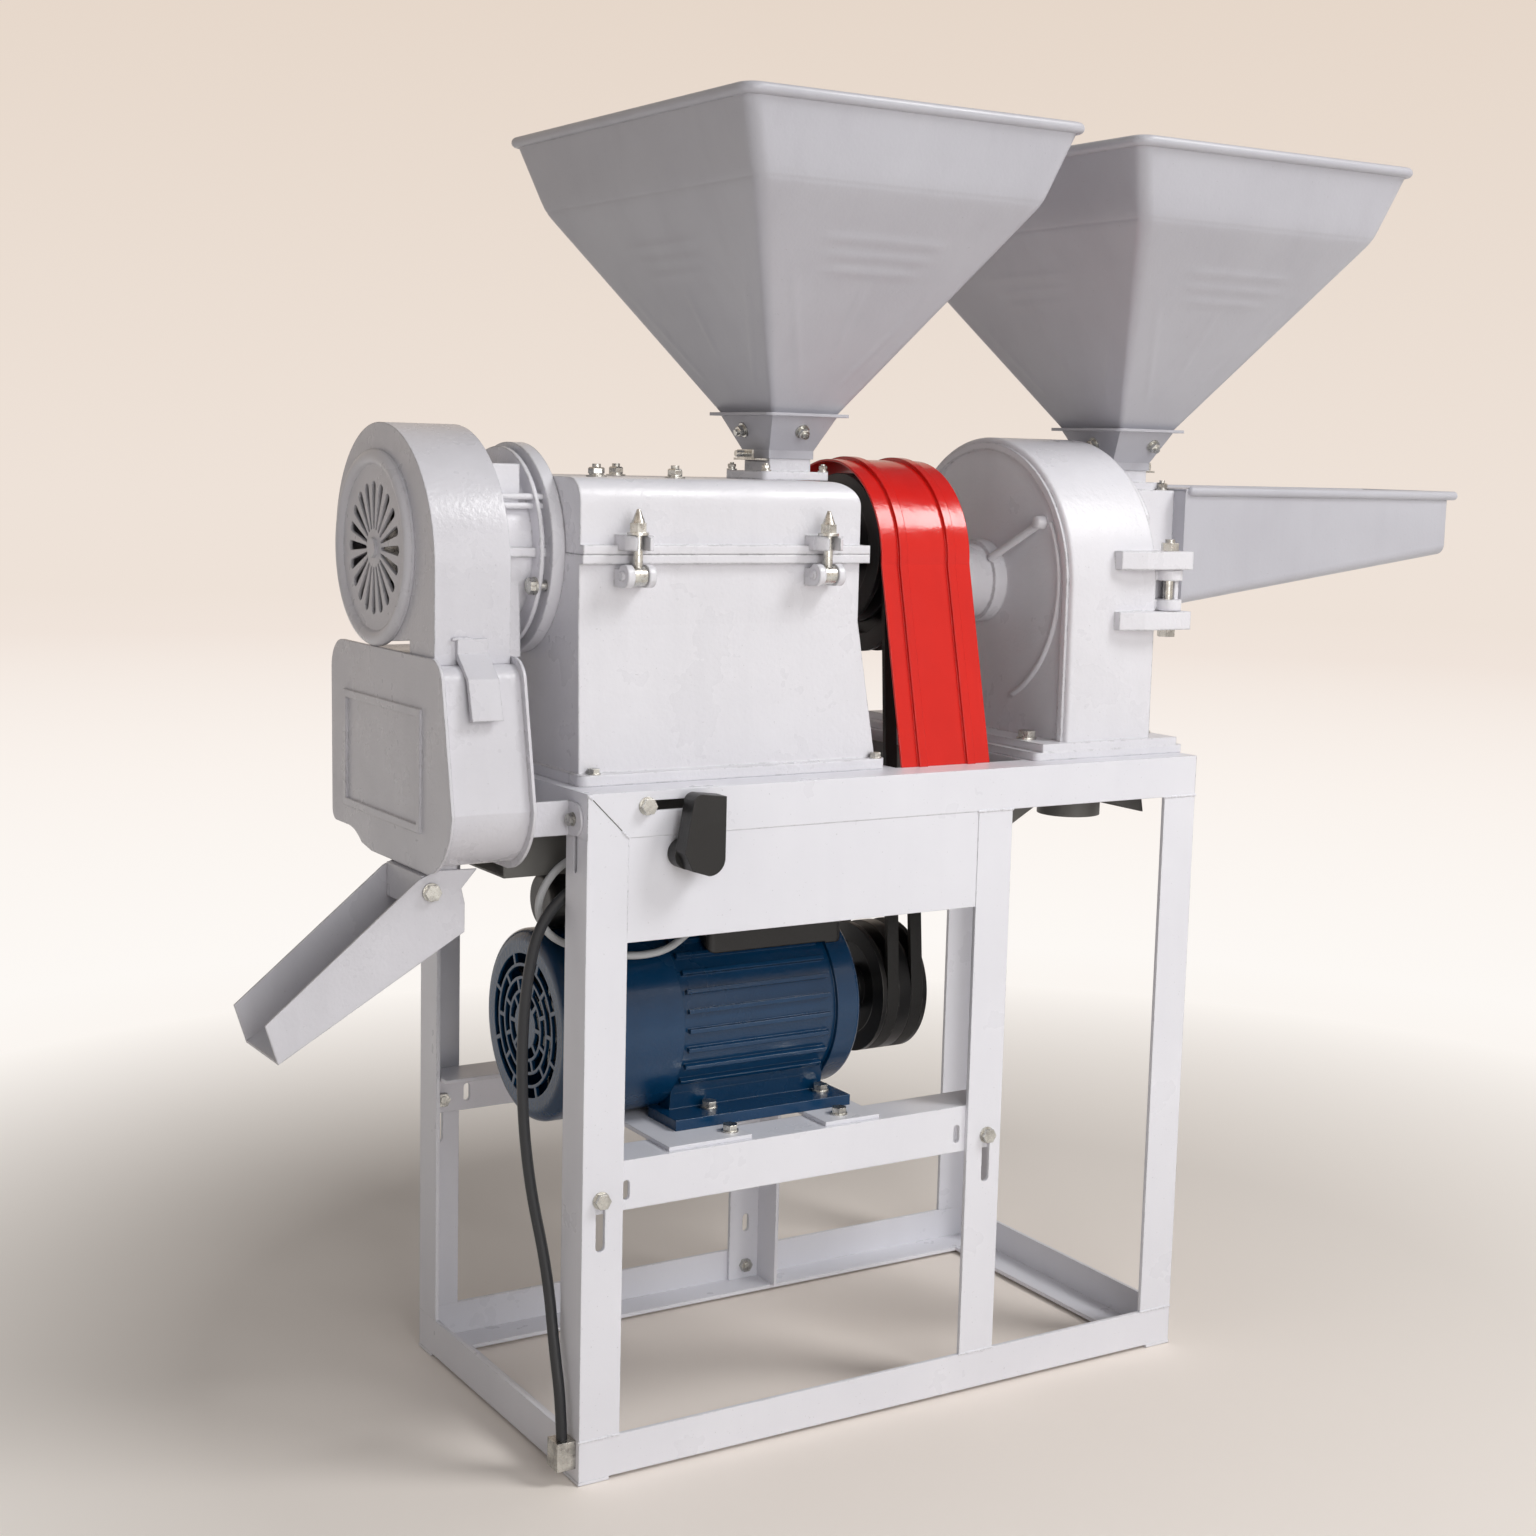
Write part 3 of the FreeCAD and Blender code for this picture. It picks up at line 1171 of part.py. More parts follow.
def make_chute():
    """Tilting rice chute: two cheeks and a sloping floor, hung on two pivot bolts."""
    px, pz = chute_pivot_x, chute_pivot_z
    y0 = spout_front - chute_side_gap - chute_sheet
    y1 = spout_back + chute_side_gap + chute_sheet
    side = [(px + 5, pz + 18), (px + 42, pz + 17), (px + 28, pz + 1), (px + 31, pz - 12),
            (px + 31, pz - 37), (px - 134, pz - 134), (px - 145, pz - 100)]
    body = prism("xz", y0, y1 - y0, (px - 11, pz + 11), side)
    inner = [(px + 60, pz + 60), (px + 60, pz - 17), (px + 29, pz - 17), (px + 29, pz - 36),
             (px - 133, pz - 131), (px - 190, pz - 163), (px - 190, pz - 90)]
    hollow = prism("xz", y0 + chute_sheet, y1 - y0 - 2 * chute_sheet, (px - 40, pz + 60),
                   inner)
    pin = rod(V(px, y0 - 1, pz), V(px, y1 + 1, pz), 4.0 + running_clearance)
    add("rice_chute", body.cut(hollow).cut(pin).removeSplitter())
    for seat, way in ((spout_front, -1), (spout_back, 1)):
        face = seat + way * (chute_side_gap + chute_sheet + 0.3)
        stem = rod(V(px, seat, pz), V(px, face, pz), 4.0)
        head = rod(V(px, face, pz), V(px, face + way * 2, pz), 8.0)
        nut = hexagon(V(px, face + way * 2, pz), V(0, way, 0), 13, 5)
        bolts.append(stem.fuse([head, nut]).removeSplitter())


def make_under_trays():
    """Bran chute under the huller and flared outlet hood under the grinder."""
    t = 2.0
    y0, y1 = shaft_y - 100, shaft_y + 100
    x0, x1 = separator_right + 5, cross_member_left_x - 4
    low, top = ring_bottom - 43, ring_bottom - 1
    tray = block(x0, x1, y0, y1, low, top).cut(block(x0 - 1, x1 - t, y0 + t, y1 - t,
                                                     low + t, top + 1))
    tray = tray.fuse(block(iron + 2, x1, y0, y0 + t, low, frame_height - iron))
    tray = tray.fuse(block(iron + 2, x1, y1 - t, y1, low, frame_height - iron))
    tray = tray.fuse(block(x1 - t, x1, y0, y1, low, frame_height - 2 * iron))
    add("bran_chute", tray.removeSplitter())
    x0, x1 = frame_length - 211, frame_length - 25
    y0, y1 = 47.0, frame_depth - 47.0
    mid_x, half_x, half_y = (x0 + x1) / 2, (x1 - x0) / 2, (y1 - y0) / 2
    top, low = frame_height - 2 * iron, ring_bottom - 32
    outer = tapered(rectangle(mid_x - 4, shaft_y, half_x - 8, half_y, top),
                    rectangle(mid_x, shaft_y, half_x, half_y, low))
    inner = tapered(rectangle(mid_x - 4, shaft_y, half_x - 8 - t, half_y - t, top + 1),
                    rectangle(mid_x, shaft_y, half_x - t, half_y - t, low - 1))
    hood = outer.cut(inner)
    arch = prism("xz", -1, frame_depth + 2, (x0 - 10, low - 5),
                 [(x0 + 2, low), (x0 + 48, low + 26), (x1 - 62, low + 26), (x1 - 4, low + 10),
                  (x1 + 10, low + 10), (x1 + 10, low - 5)])
    hood = hood.cut(arch)
    floor = block(x0 + 24, x1 - 22, y0 + 1, y1 - 1, top - 40, top - 38)
    spout = rod(V(mid_x + 30, 92, top - 39), V(mid_x + 30, 92, low + 6), 32)
    bore = rod(V(mid_x + 30, 92, top), V(mid_x + 30, 92, low), 30)
    member = block(cross_member_right_x - part_gap, cross_member_right_x + iron + part_gap,
                   0, frame_depth, ring_bottom - part_gap, frame_height)
    hood = hood.fuse([floor, spout]).cut(bore).cut(member)
    add("flour_outlet", hood.removeSplitter())


# ---------------------------------------------------------------- grinder
def tombstone(x0, x1, radius, bottom):
    y, z = shaft_y, grinder_shaft_z
    return prism("yz", x0, x1 - x0, (y - radius, bottom),
                 [(y - radius, z), ((y, z + radius), (y + radius, z)), (y + radius, bottom)])


def make_grinder_body():
    y, z = shaft_y, grinder_shaft_z
    drum = tombstone(drum_left, drum_right, drum_radius, grinder_base_top)
    drum = round_edges(drum, 4, lambda e: abs(e.BoundBox.XLength) < 0.01
                       and abs(e.BoundBox.Center.x - drum_left) < 0.01
                       and e.BoundBox.ZMax > grinder_base_top + 1)
    low = block(base_plate_left, base_plate_right, y - base_plate_half_depth,
                y + base_plate_half_depth, frame_height, frame_height + base_step)
    low = round_edges(low, 6, lambda e: e.Length < base_step + 0.1)
    mid = block(base_plate_left + 9, base_plate_right - 9, y - base_plate_half_depth + 1,
                y + base_plate_half_depth - 1, frame_height + base_step, grinder_base_top)
    hub = disc_x(hub_left, drum_left, y, z, hub_radius)
    collar = disc_x(drum_left - hub_collar_length, drum_left, y, z, hub_collar_radius)
    body = drum.fuse([low, mid, hub, collar])
    rim_outer = tombstone(drum_left - drum_rim_height, drum_left, drum_radius - 5,
                          grinder_base_top)
    rim_inner = tombstone(drum_left - drum_rim_height - 1, drum_left + 1,
                          drum_radius - 5 - drum_rim_width, grinder_base_top - 1)
    body = body.fuse(rim_outer.cut(rim_inner))
    cavity_wall = drum_left + drum_wall
    body = body.cut(disc_x(cavity_wall, drum_right - 5, y, z, drum_radius - drum_wall))
    body = body.cut(disc_x(drum_right - 6, drum_right + 1, y, z, mouth_radius))
    body = body.cut(block(cavity_wall + 6, drum_right - 12, y - 80, y + 80,
                          frame_height - 1, z - 60))
    body = body.cut(disc_x(hub_left - 1, cavity_wall + 1, y, z, grinder_shaft_radius + 3))
    body = body.cut(disc_x(hub_left - 1, hub_left + 6 + bearing_width, y, z, bearing_radius))
    body = body.cut(disc_x(drum_left - bearing_width - 6, drum_left - 6, y, z,
                           bearing_radius))
    for z0 in (knuckle_top + part_gap, knuckle_bottom - part_gap - hinge_block_height):
        body = body.fuse(hinge_block(z0))
    add("grinder_body", body.removeSplitter())


def hinge_block(z0):
    """Cast block on the drum front that holds one end of the door's hinge pin."""
    x, y = door_hinge_x, door_hinge_y
    front = shaft_y - drum_radius
    height = hinge_block_height
    lug = prism("xy", z0, height, (x - 70, front + 3),
                [(x - 70, y - 10), (x - 44, y - 18), (x + 16, y - 18), (x + 16, y + 7),
                 (drum_right, y + 7), (drum_right, y + 30), (x - 40, y + 30)])
    return lug.cut(rod(V(x, y, z0 - 1), V(x, y, z0 + height + 1), door_pin_radius))


def make_grinder_rotor():
    y, z = shaft_y, grinder_shaft_z
    add("grinder_shaft", disc_x(belt_grinder_x - 13, drum_left + drum_wall + 30, y, z,
                                grinder_shaft_radius))
    left = drum_left + drum_wall + 14
    plate = disc_x(left, left + rotor_thickness, y, z, rotor_radius)
    hub = disc_x(left, left + 26, y, z, grinder_shaft_radius + 12)
    claws = []
    for k in range(rotor_claws):
        for radius in (55.0, 82.0):
            claw = block(left + rotor_thickness - 1, left + rotor_thickness + 34,
                         y - 5, y + 5, z + radius - 6, z + radius + 6)
            claw.rotate(V(0, y, z), V(1, 0, 0), 360.0 / rotor_claws * k)
            claws.append(claw)
    rotor = plate.fuse([hub] + claws)
    rotor = rotor.cut(disc_x(left - 1, left + 16, y, z, grinder_shaft_radius))
    add("grinder_rotor", rotor.removeSplitter())


def make_ring_screen():
    """Perforated ring round the grinder rotor."""
    y, z = shaft_y, grinder_shaft_z
    screen = tube_x(drum_left + drum_wall, drum_right - part_gap, y, z,
                    ring_screen_radius + 2, ring_screen_radius)
    holes = []
    for k in range(16):
        for x in (drum_left + 28, drum_left + 60):
            slot = block(x, x + 22, y - 3, y + 3, z + ring_screen_radius - 3,
                         z + ring_screen_radius + 5)
            slot.rotate(V(0, y, z), V(1, 0, 0), 22.5 * k)
            holes.append(slot)
    return screen.cut(holes)


def make_grinder_door():
    """Cast door with the feed inlet box and its neck, hung on the front hinge blocks."""
    y, z = shaft_y, grinder_shaft_z
    x0 = drum_right + part_gap
    x1 = x0 + door_thickness
    plate = disc_x(x0, x1, y, z, door_radius)
    plate = plate.cut(block(x0 - 1, x1 + 1, 0, door_hinge_y + door_chord, z - 200, z + 200))
    knuckle = rod(V(door_hinge_x, door_hinge_y, knuckle_bottom),
                  V(door_hinge_x, door_hinge_y, knuckle_top), knuckle_radius)
    arm = block(x0 + 1, door_hinge_x, door_hinge_y, door_hinge_y + door_chord + 8,
                knuckle_bottom, knuckle_top)
    window = block(door_hinge_x - 30, door_hinge_x + 30, door_hinge_y - 20, door_hinge_y + 13,
                   knuckle_bottom + 11, knuckle_top - 11)
    spine = block(door_hinge_x + 7, door_hinge_x + 12, door_hinge_y - 2, door_hinge_y + 16,
                  knuckle_bottom, knuckle_top)
    hinge = knuckle.fuse(arm).cut(window).fuse(spine)
    hinge = hinge.cut(rod(V(door_hinge_x, door_hinge_y, knuckle_bottom - 1),
                          V(door_hinge_x, door_hinge_y, knuckle_top + 1),
                          door_pin_radius + running_clearance))
    inlet = block(x1 - 1, inlet_right, y - inlet_half_width, y + inlet_half_width,
                  inlet_bottom, inlet_top)
    throat = block(x1 - 1, inlet_right - inlet_wall, y - inlet_half_width + inlet_wall,
                   y + inlet_half_width - inlet_wall, inlet_bottom + inlet_wall,
                   inlet_top - inlet_wall)
    feed_hole = disc_x(x0 - 1, x1 + 2, y, z + 14, 26)
    neck_hole = block(grain_hopper_x - neck_half_x + neck_wall,
                      grain_hopper_x + neck_half_x - neck_wall,
                      y - neck_half_y + neck_wall, y + neck_half_y - neck_wall,
                      inlet_top - inlet_wall - 1, inlet_top + 1)
    tray_hole = block(inlet_right - inlet_wall - 1, inlet_right + 1, y - 34, y + 34,
                      inlet_bottom + 14, inlet_top - 20)
    door = plate.fuse([hinge, inlet, feed_neck(grain_hopper_x, inlet_top, 1)])
    door = door.cut(throat).cut(feed_hole).cut(neck_hole).cut(tray_hole)
    add("grinder_door", door.removeSplitter())


def make_feed_tray():
    """Deep sheet tray that narrows to the inlet box, with a rolled rim."""
    x0, x1 = inlet_right, tray_right
    y, w, t = shaft_y, tray_half_width, tray_sheet
    top = inlet_top

    def trough(inset):
        def section(x, bottom):
            z_low, r = bottom + inset, 12.0
            half = w - inset
            a = V(x, y - half, top)
            b = V(x, y - half, z_low + r)
            c = V(x, y - half + r, z_low)
            d = V(x, y + half - r, z_low)
            e = V(x, y + half, z_low + r)
            f = V(x, y + half, top)
            k = r * (1 - math.sqrt(0.5))
            m = V(x, y - half + k, z_low + k)
            n = V(x, y + half - k, z_low + k)
            return Part.Wire([Part.makeLine(a, b), Part.Arc(b, m, c).toShape(),
                              Part.makeLine(c, d), Part.Arc(d, n, e).toShape(),
                              Part.makeLine(e, f), Part.makeLine(f, a)])
        start = x0 if inset == 0 else x0 + t
        return Part.makeLoft([section(start, tray_start_bottom),
                              section(x1 - inset, tray_end_bottom)], True, True)
    inner = trough(t)
    lift = inner.copy()
    lift.translate(V(0, 0, 4))
    shell = trough(0).cut(inner).cut(lift)
    shell = shell.cut(block(x0 - 1, x0 + t + 1, y - 34, y + 34, inlet_bottom + 14,
                            inlet_top - 20))
    rim = []
    end_x = x1 + tray_rim_lip
    ring = [V(x0 + 8, y - w, top), V(end_x, y - w, top), V(end_x, y + w, top),
            V(x0 + 8, y + w, top)]
    for k in range(3):
        rim.append(rod(ring[k], ring[k + 1], tray_rim_radius))
        rim.append(Part.makeSphere(tray_rim_radius, ring[k + 1]))
    rim[-1] = Part.makeSphere(tray_rim_radius, ring[0])
    lip = block(x1 - t, end_x, y - w, y + w, top - 2, top)
    hood = block(x0 + 1, x0 + 190, y - w + 3, y + w - 3, top + 0.2, top + 2.2)
    tray = shell.fuse(rim + [lip])
    stitch = block(x0 + 1, x0 + 190, y - w, y - w + 5, top - 0.5, top + 2.2)
    other = block(x0 + 1, x0 + 190, y + w - 5, y + w, top - 0.5, top + 2.2)
    tray = tray.fuse([hood, stitch, other])
    add("feed_tray", tray.removeSplitter())


# ---------------------------------------------------------------- electrical parts
def make_switch():
    back = panel_setback + panel_thickness
    x, z, h = switch_x, switch_z, switch_box_half
    box = block(x - h, x + h, back, back + switch_box_depth, z - h - 6, z + 14)
    stem_hole = rod(V(x, back - 1, z), V(x, back + 14, z), 4.0 + running_clearance)
    add("switch_body", box.cut(stem_hole))
    pieces["front_panel"] = pieces["front_panel"].cut(rod(V(x, -2, z), V(x, 6, z), 7.0))
    reach = panel_setback - 0.5
    stem = rod(V(x, back + 12, z), V(x, reach, z), 4.0)
    boss = rod(V(x, reach, z), V(x, reach - 14, z), 13.0)
    w, t = handle_width, handle_thickness
    y0 = reach - 12
    grip = prism("xz", y0 - t, t, (x - 12, z + 4),
                 [(x - 4, z + handle_length - 22), ((x, z + handle_length - 18),
                  (x + 4, z + handle_length - 17)), (x + w - 2, z + handle_length - 20),
                  (x + w - 2, z - 2), ((x + w - 8, z - 14), (x + w - 18, z - 17)),
                  (x - 4, z - 12)])
    add("switch_handle", stem.fuse([boss, grip]).removeSplitter())


def smooth_path(points):
    """Straight runs joined by tangent arcs, each as large as its two runs allow."""
    corners = [V(*point) for point in points]
    edges, radii = [], []
    here = corners[0]
    for k in range(1, len(corners) - 1):
        before, corner, after = corners[k - 1], corners[k], corners[k + 1]
        inward = (corner - before).normalize()
        onward = (after - corner).normalize()
        turn = inward.getAngle(onward)
        reach = 0.45 * min((corner - before).Length, (after - corner).Length)
        radii.append(reach / math.tan(turn / 2))
        start, end = corner - inward * reach, corner + onward * reach
        toward = (onward - inward).normalize()
        centre = corner + toward * (reach / math.sin(turn / 2))
        middle = centre - toward * radii[-1]
        edges.append(Part.LineSegment(here, start).toShape())
        edges.append(Part.Arc(start, middle, end).toShape())
        here = end
    edges.append(Part.LineSegment(here, corners[-1]).toShape())
    return Part.Wire(edges), radii


def cord(name, points, radius, *ends):
    """A round cord along a route, trimmed flush with the pieces that it runs into."""
    path, radii = smooth_path(points)
    first = (V(*points[1]) - V(*points[0])).normalize()
    circle = Part.Wire(Part.Circle(V(*points[0]), first, radius).toShape())
    tube = path.makePipeShell([circle], True, False)
    expected = math.pi * radius ** 2 * path.Length
    print(f"{name}: length {path.Length:.0f} mm, volume ratio {tube.Volume / expected:.4f}, "
          f"radii {', '.join(f'{r:.0f}' for r in radii)} mm, valid {tube.isValid()}")
    add(name, tube.cut(list(ends)))


def make_cords():
    left = switch_x - switch_box_half
    saddle = block(-18, 0, 6, 26, 14, 40)
    bolts.append(saddle)
    drop = switch_z / 562
    cord("power_cord",
         [(left + 1, 24, 544 * drop), (26, 40, 541 * drop), (-15, 56, 506 * drop),
          (-27, 63, 440 * drop), (-28, 67, 350 * drop), (-22, 62, 265 * drop),
          (-9.5, 48, 185 * drop), (-10, 30, 115), (-9.5, 18, 75), (-9, 16, 39)],
         power_cord_radius, saddle, pieces["switch_body"])
    cord("motor_lead",
         [(left + 1, 30, switch_z + 4), (36, 44, switch_z), (8, 68, switch_z - 14),
          (-12, 74, (switch_z + motor_z) / 2 + 42), (-4, 76, motor_z + 102),
          (24, 78, motor_z + 84), (72, 72, motor_z + 72), (112, 70, motor_z + 72),
          (142, 80, motor_z + 82), (167, 92, motor_z + 96)],
         motor_lead_radius, pieces["motor_terminal_box"], pieces["switch_body"])


# ---------------------------------------------------------------- fasteners
def make_fasteners():
    into_back = (0, 1, 0)
    into_front = (0, -1, 0)
    down = (0, 0, -1)
    low = rail_top - 31.0
    fasten(["motor_rail_front"], (18.0, 0, low), into_back, 2 * iron)
    fasten(["motor_rail_front"], (front_middle_post_x - 17, 0, low), into_back, 2 * iron)
    fasten(["motor_rail_back", "motor_cross_bars"], (18.0, frame_depth, low), into_front,
           3 * iron)
    fasten(["motor_rail_back"], (376.0, frame_depth - iron, low), into_front, 2 * iron)
    fasten(["post_back_middle", "base_ring"], (380.0, frame_depth, 22.0), into_front,
           2 * iron)
    fasten(["post_back_middle", "top_rail_back"], (380.0, frame_depth, frame_height - 22),
           into_front, 2 * iron)
    for x in (163.0, 282.0):
        for y in (26.0, frame_depth - 26.0):
            rail = "motor_rail_front" if y < mid_y else "motor_rail_back"
            fasten([rail, "motor_cross_bars"], (x, y, rail_top + cross_bar_thickness),
                   down, iron + cross_bar_thickness)
    for x in foot_hole_x:
        for way in (-1, 1):
            y = motor_y + way * foot_spread / 2
            fasten(["motor_body", "motor_cross_bars"],
                   (x, y, motor_z - motor_shaft_height + foot_plate_thickness), down,
                   foot_plate_thickness + cross_bar_thickness)
    flange_top = frame_height + huller_flange_thickness
    for way in (-1, 1):
        y = shaft_y + way * (huller_flange_half_depth - 6)
        fasten(["huller_body", "top_rail_left"], (huller_left + 10, y, flange_top), down,
               huller_flange_thickness + iron, 6)
        fasten(["huller_body", "top_cross_members"], (huller_right + 15, y, flange_top),
               down, huller_flange_thickness + 2 * iron, 6)
        y = shaft_y + way * 110
        fasten(["grinder_body", "top_cross_members"],
               (base_plate_left + 22, y, grinder_base_top), down, 2 * base_step + 2 * iron, 10)
        fasten(["grinder_body", "top_rail_right"],
               (base_plate_right - 20, y, grinder_base_top), down, 2 * base_step + iron, 10)
    fasten(["separator_straps"], (-3, 22.0, ring_bottom + 16), (1, 0, 0), 3 + iron, 6)
    fasten([], (57.0, 0, frame_height - 13), into_back, iron, 8)
    for angle in (20, 80, 140, 200, 260, 320):
        y = shaft_y + (flange_radius - 9) * math.cos(math.radians(angle))
        z = huller_shaft_z + (flange_radius - 9) * math.sin(math.radians(angle))
        if z < huller_shaft_z - 12:
            fasten(["bearing_barrel", "huller_body"],
                   (huller_left - flange_thickness - 10, y, z),
                   (1, 0, 0), flange_thickness + 10 + huller_wall, 8)
    add("stand_bolts", *bolts)


def shift_to_datum():
    """Move every piece so that the origin is under the middle of the whole machine."""
    body = Part.makeCompound([shape for name, shape in pieces.items()
                              if name not in ("power_cord", "motor_lead")])
    box = body.optimalBoundingBox(False, False)
    shift = V(-box.Center.x, -box.Center.y, -box.ZMin)
    for shape in pieces.values():
        shape.translate(shift)
    return shift


def build():
    make_posts()
    make_base_ring()
    make_top_rails()
    make_cross_members()
    make_front_panel()
    make_motor_rails()
    cut_adjusting_slots()
    make_motor()
    make_motor_cover()
    make_motor_box()
    make_motor_rotor()
    make_drive()
    make_belt_guard()
    make_huller_body()
    make_huller_cover()
    make_clamp_bolts()
    make_hinge_pins()
    make_huller_rotor()
    make_bearings()
    add("rice_neck", feed_neck(rice_hopper_x, cover_top, -1).removeSplitter())
    make_gate("rice_gate", rice_hopper_x, cover_top, -1)
    make_funnel("rice_funnel", rice_hopper_x, cover_top + neck_height)
    make_hopper("rice_hopper", rice_hopper_x, cover_top + neck_height + funnel_height)
    make_fan_housing()
    make_fan_grille()
    make_impeller()
    make_barrel()
    make_separator()
    make_straps()
    make_chute()
    make_under_trays()
    make_grinder_body()
    make_grinder_rotor()
    add("sieves", make_rice_screen(), make_ring_screen())
    make_grinder_door()
    make_gate("grain_gate", grain_hopper_x, inlet_top, 1)
    make_funnel("grain_funnel", grain_hopper_x, inlet_top + neck_height)
    make_hopper("grain_hopper", grain_hopper_x, inlet_top + neck_height + funnel_height)
    make_feed_tray()
    make_switch()
    make_cords()
    make_fasteners()
    shift = shift_to_datum()
    for name, shape in pieces.items():
        shape.exportStep(f"parts/{name}.step")
    print(f"{len(pieces)} nodes, datum shift {shift.x:.3f} {shift.y:.3f} {shift.z:.3f}")


build()
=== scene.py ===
"""Finishes and small parts for a combined rice huller and grinder on one stand.

Places are given in millimetres from the stand's front left corner on the floor: X runs along
the stand, Y from its front to its back and Z up.  spot() turns them into the frame's metres.
"""
import json
import math

import bmesh
import bpy
from mathutils import Matrix, Vector


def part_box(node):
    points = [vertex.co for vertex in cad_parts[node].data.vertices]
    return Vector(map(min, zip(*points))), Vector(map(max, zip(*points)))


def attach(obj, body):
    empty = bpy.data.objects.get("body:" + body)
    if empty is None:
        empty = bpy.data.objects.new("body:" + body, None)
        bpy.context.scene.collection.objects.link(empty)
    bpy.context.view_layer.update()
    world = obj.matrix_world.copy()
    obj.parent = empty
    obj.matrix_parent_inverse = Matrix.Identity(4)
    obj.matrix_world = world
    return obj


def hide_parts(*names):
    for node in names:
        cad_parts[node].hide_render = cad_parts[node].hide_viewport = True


with open("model.json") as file:
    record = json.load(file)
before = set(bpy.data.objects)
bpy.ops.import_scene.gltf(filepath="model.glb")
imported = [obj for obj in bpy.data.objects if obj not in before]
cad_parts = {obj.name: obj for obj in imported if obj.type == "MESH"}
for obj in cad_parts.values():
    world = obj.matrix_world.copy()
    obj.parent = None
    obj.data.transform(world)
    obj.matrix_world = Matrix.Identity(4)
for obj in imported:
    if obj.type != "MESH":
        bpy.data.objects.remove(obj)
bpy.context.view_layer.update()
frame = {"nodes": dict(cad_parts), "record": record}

nodes = frame["nodes"]
MM = 0.001
STAND_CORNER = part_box("post_front_left")[0]


def spot(x, y, z):
    """Stand millimetres to frame metres."""
    return Vector((STAND_CORNER.x + x * MM, STAND_CORNER.y + y * MM, z * MM))


# ---------------------------------------------------------------- shader helpers
def srgb(red, green, blue):
    """An 0-255 screen colour as the linear colour that a shader socket takes."""
    def linear(value):
        value /= 255
        return value / 12.92 if value <= 0.04045 else ((value + 0.055) / 1.055) ** 2.4
    return (linear(red), linear(green), linear(blue), 1.0)


def new_group(name, inputs, outputs):
    """An empty shader group with its named sockets, and its two end nodes."""
    tree = bpy.data.node_groups.new(name, "ShaderNodeTree")
    for label, kind, value in inputs:
        socket = tree.interface.new_socket(label, in_out="INPUT", socket_type=kind)
        socket.default_value = value
    for label, kind in outputs:
        tree.interface.new_socket(label, in_out="OUTPUT", socket_type=kind)
    return tree, tree.nodes.new("NodeGroupInput"), tree.nodes.new("NodeGroupOutput")


def noise(tree, vector, scale, detail=3.0, roughness=0.55):
    """A noise value over a vector; scale is a number or a socket."""
    node = tree.nodes.new("ShaderNodeTexNoise")
    node.inputs["Detail"].default_value = detail
    node.inputs["Roughness"].default_value = roughness
    tree.links.new(vector, node.inputs["Vector"])
    if isinstance(scale, (int, float)):
        node.inputs["Scale"].default_value = scale
    else:
        tree.links.new(scale, node.inputs["Scale"])
    return node.outputs["Fac"]


def spread(tree, value, low, high, new_low=0.0, new_high=1.0):
    """Map a range of a value to another range, clamped."""
    node = tree.nodes.new("ShaderNodeMapRange")
    tree.links.new(value, node.inputs["Value"])
    for label, setting in (("From Min", low), ("From Max", high),
                           ("To Min", new_low), ("To Max", new_high)):
        if isinstance(setting, (int, float)):
            node.inputs[label].default_value = setting
        else:
            tree.links.new(setting, node.inputs[label])
    return node.outputs["Result"]


def combine(tree, operation, first, second):
    """A maths node on two numbers or sockets."""
    node = tree.nodes.new("ShaderNodeMath")
    node.operation = operation
    for socket, value in zip(node.inputs, (first, second)):
        if isinstance(value, (int, float)):
            socket.default_value = value
        else:
            tree.links.new(value, socket)
    return node.outputs[0]


def mix_colour(tree, share, first, second):
    """Blend from the first colour to the second by share."""
    node = tree.nodes.new("ShaderNodeMix")
    node.data_type = "RGBA"
    for label, value in ((0, share), (6, first), (7, second)):
        if isinstance(value, (int, float, tuple)):
            node.inputs[label].default_value = value
        else:
            tree.links.new(value, node.inputs[label])
    return node.outputs[2]


def edge_group():
    """Softened edges: the rounded normal and a mask that is 1 on sharp outer edges."""
    tree, start, end = new_group("soft edges", [("Radius", "NodeSocketFloat", 0.001)],
                                 [("Normal", "NodeSocketVector"), ("Edge", "NodeSocketFloat")])
    bevel = tree.nodes.new("ShaderNodeBevel")
    bevel.samples = 6
    tree.links.new(start.outputs["Radius"], bevel.inputs["Radius"])
    flat = tree.nodes.new("ShaderNodeNewGeometry")
    dot = tree.nodes.new("ShaderNodeVectorMath")
    dot.operation = "DOT_PRODUCT"
    tree.links.new(bevel.outputs["Normal"], dot.inputs[0])
    tree.links.new(flat.outputs["Normal"], dot.inputs[1])
    tree.links.new(bevel.outputs["Normal"], end.inputs["Normal"])
    tree.links.new(spread(tree, dot.outputs["Value"], 0.995, 0.9), end.inputs["Edge"])
    return tree


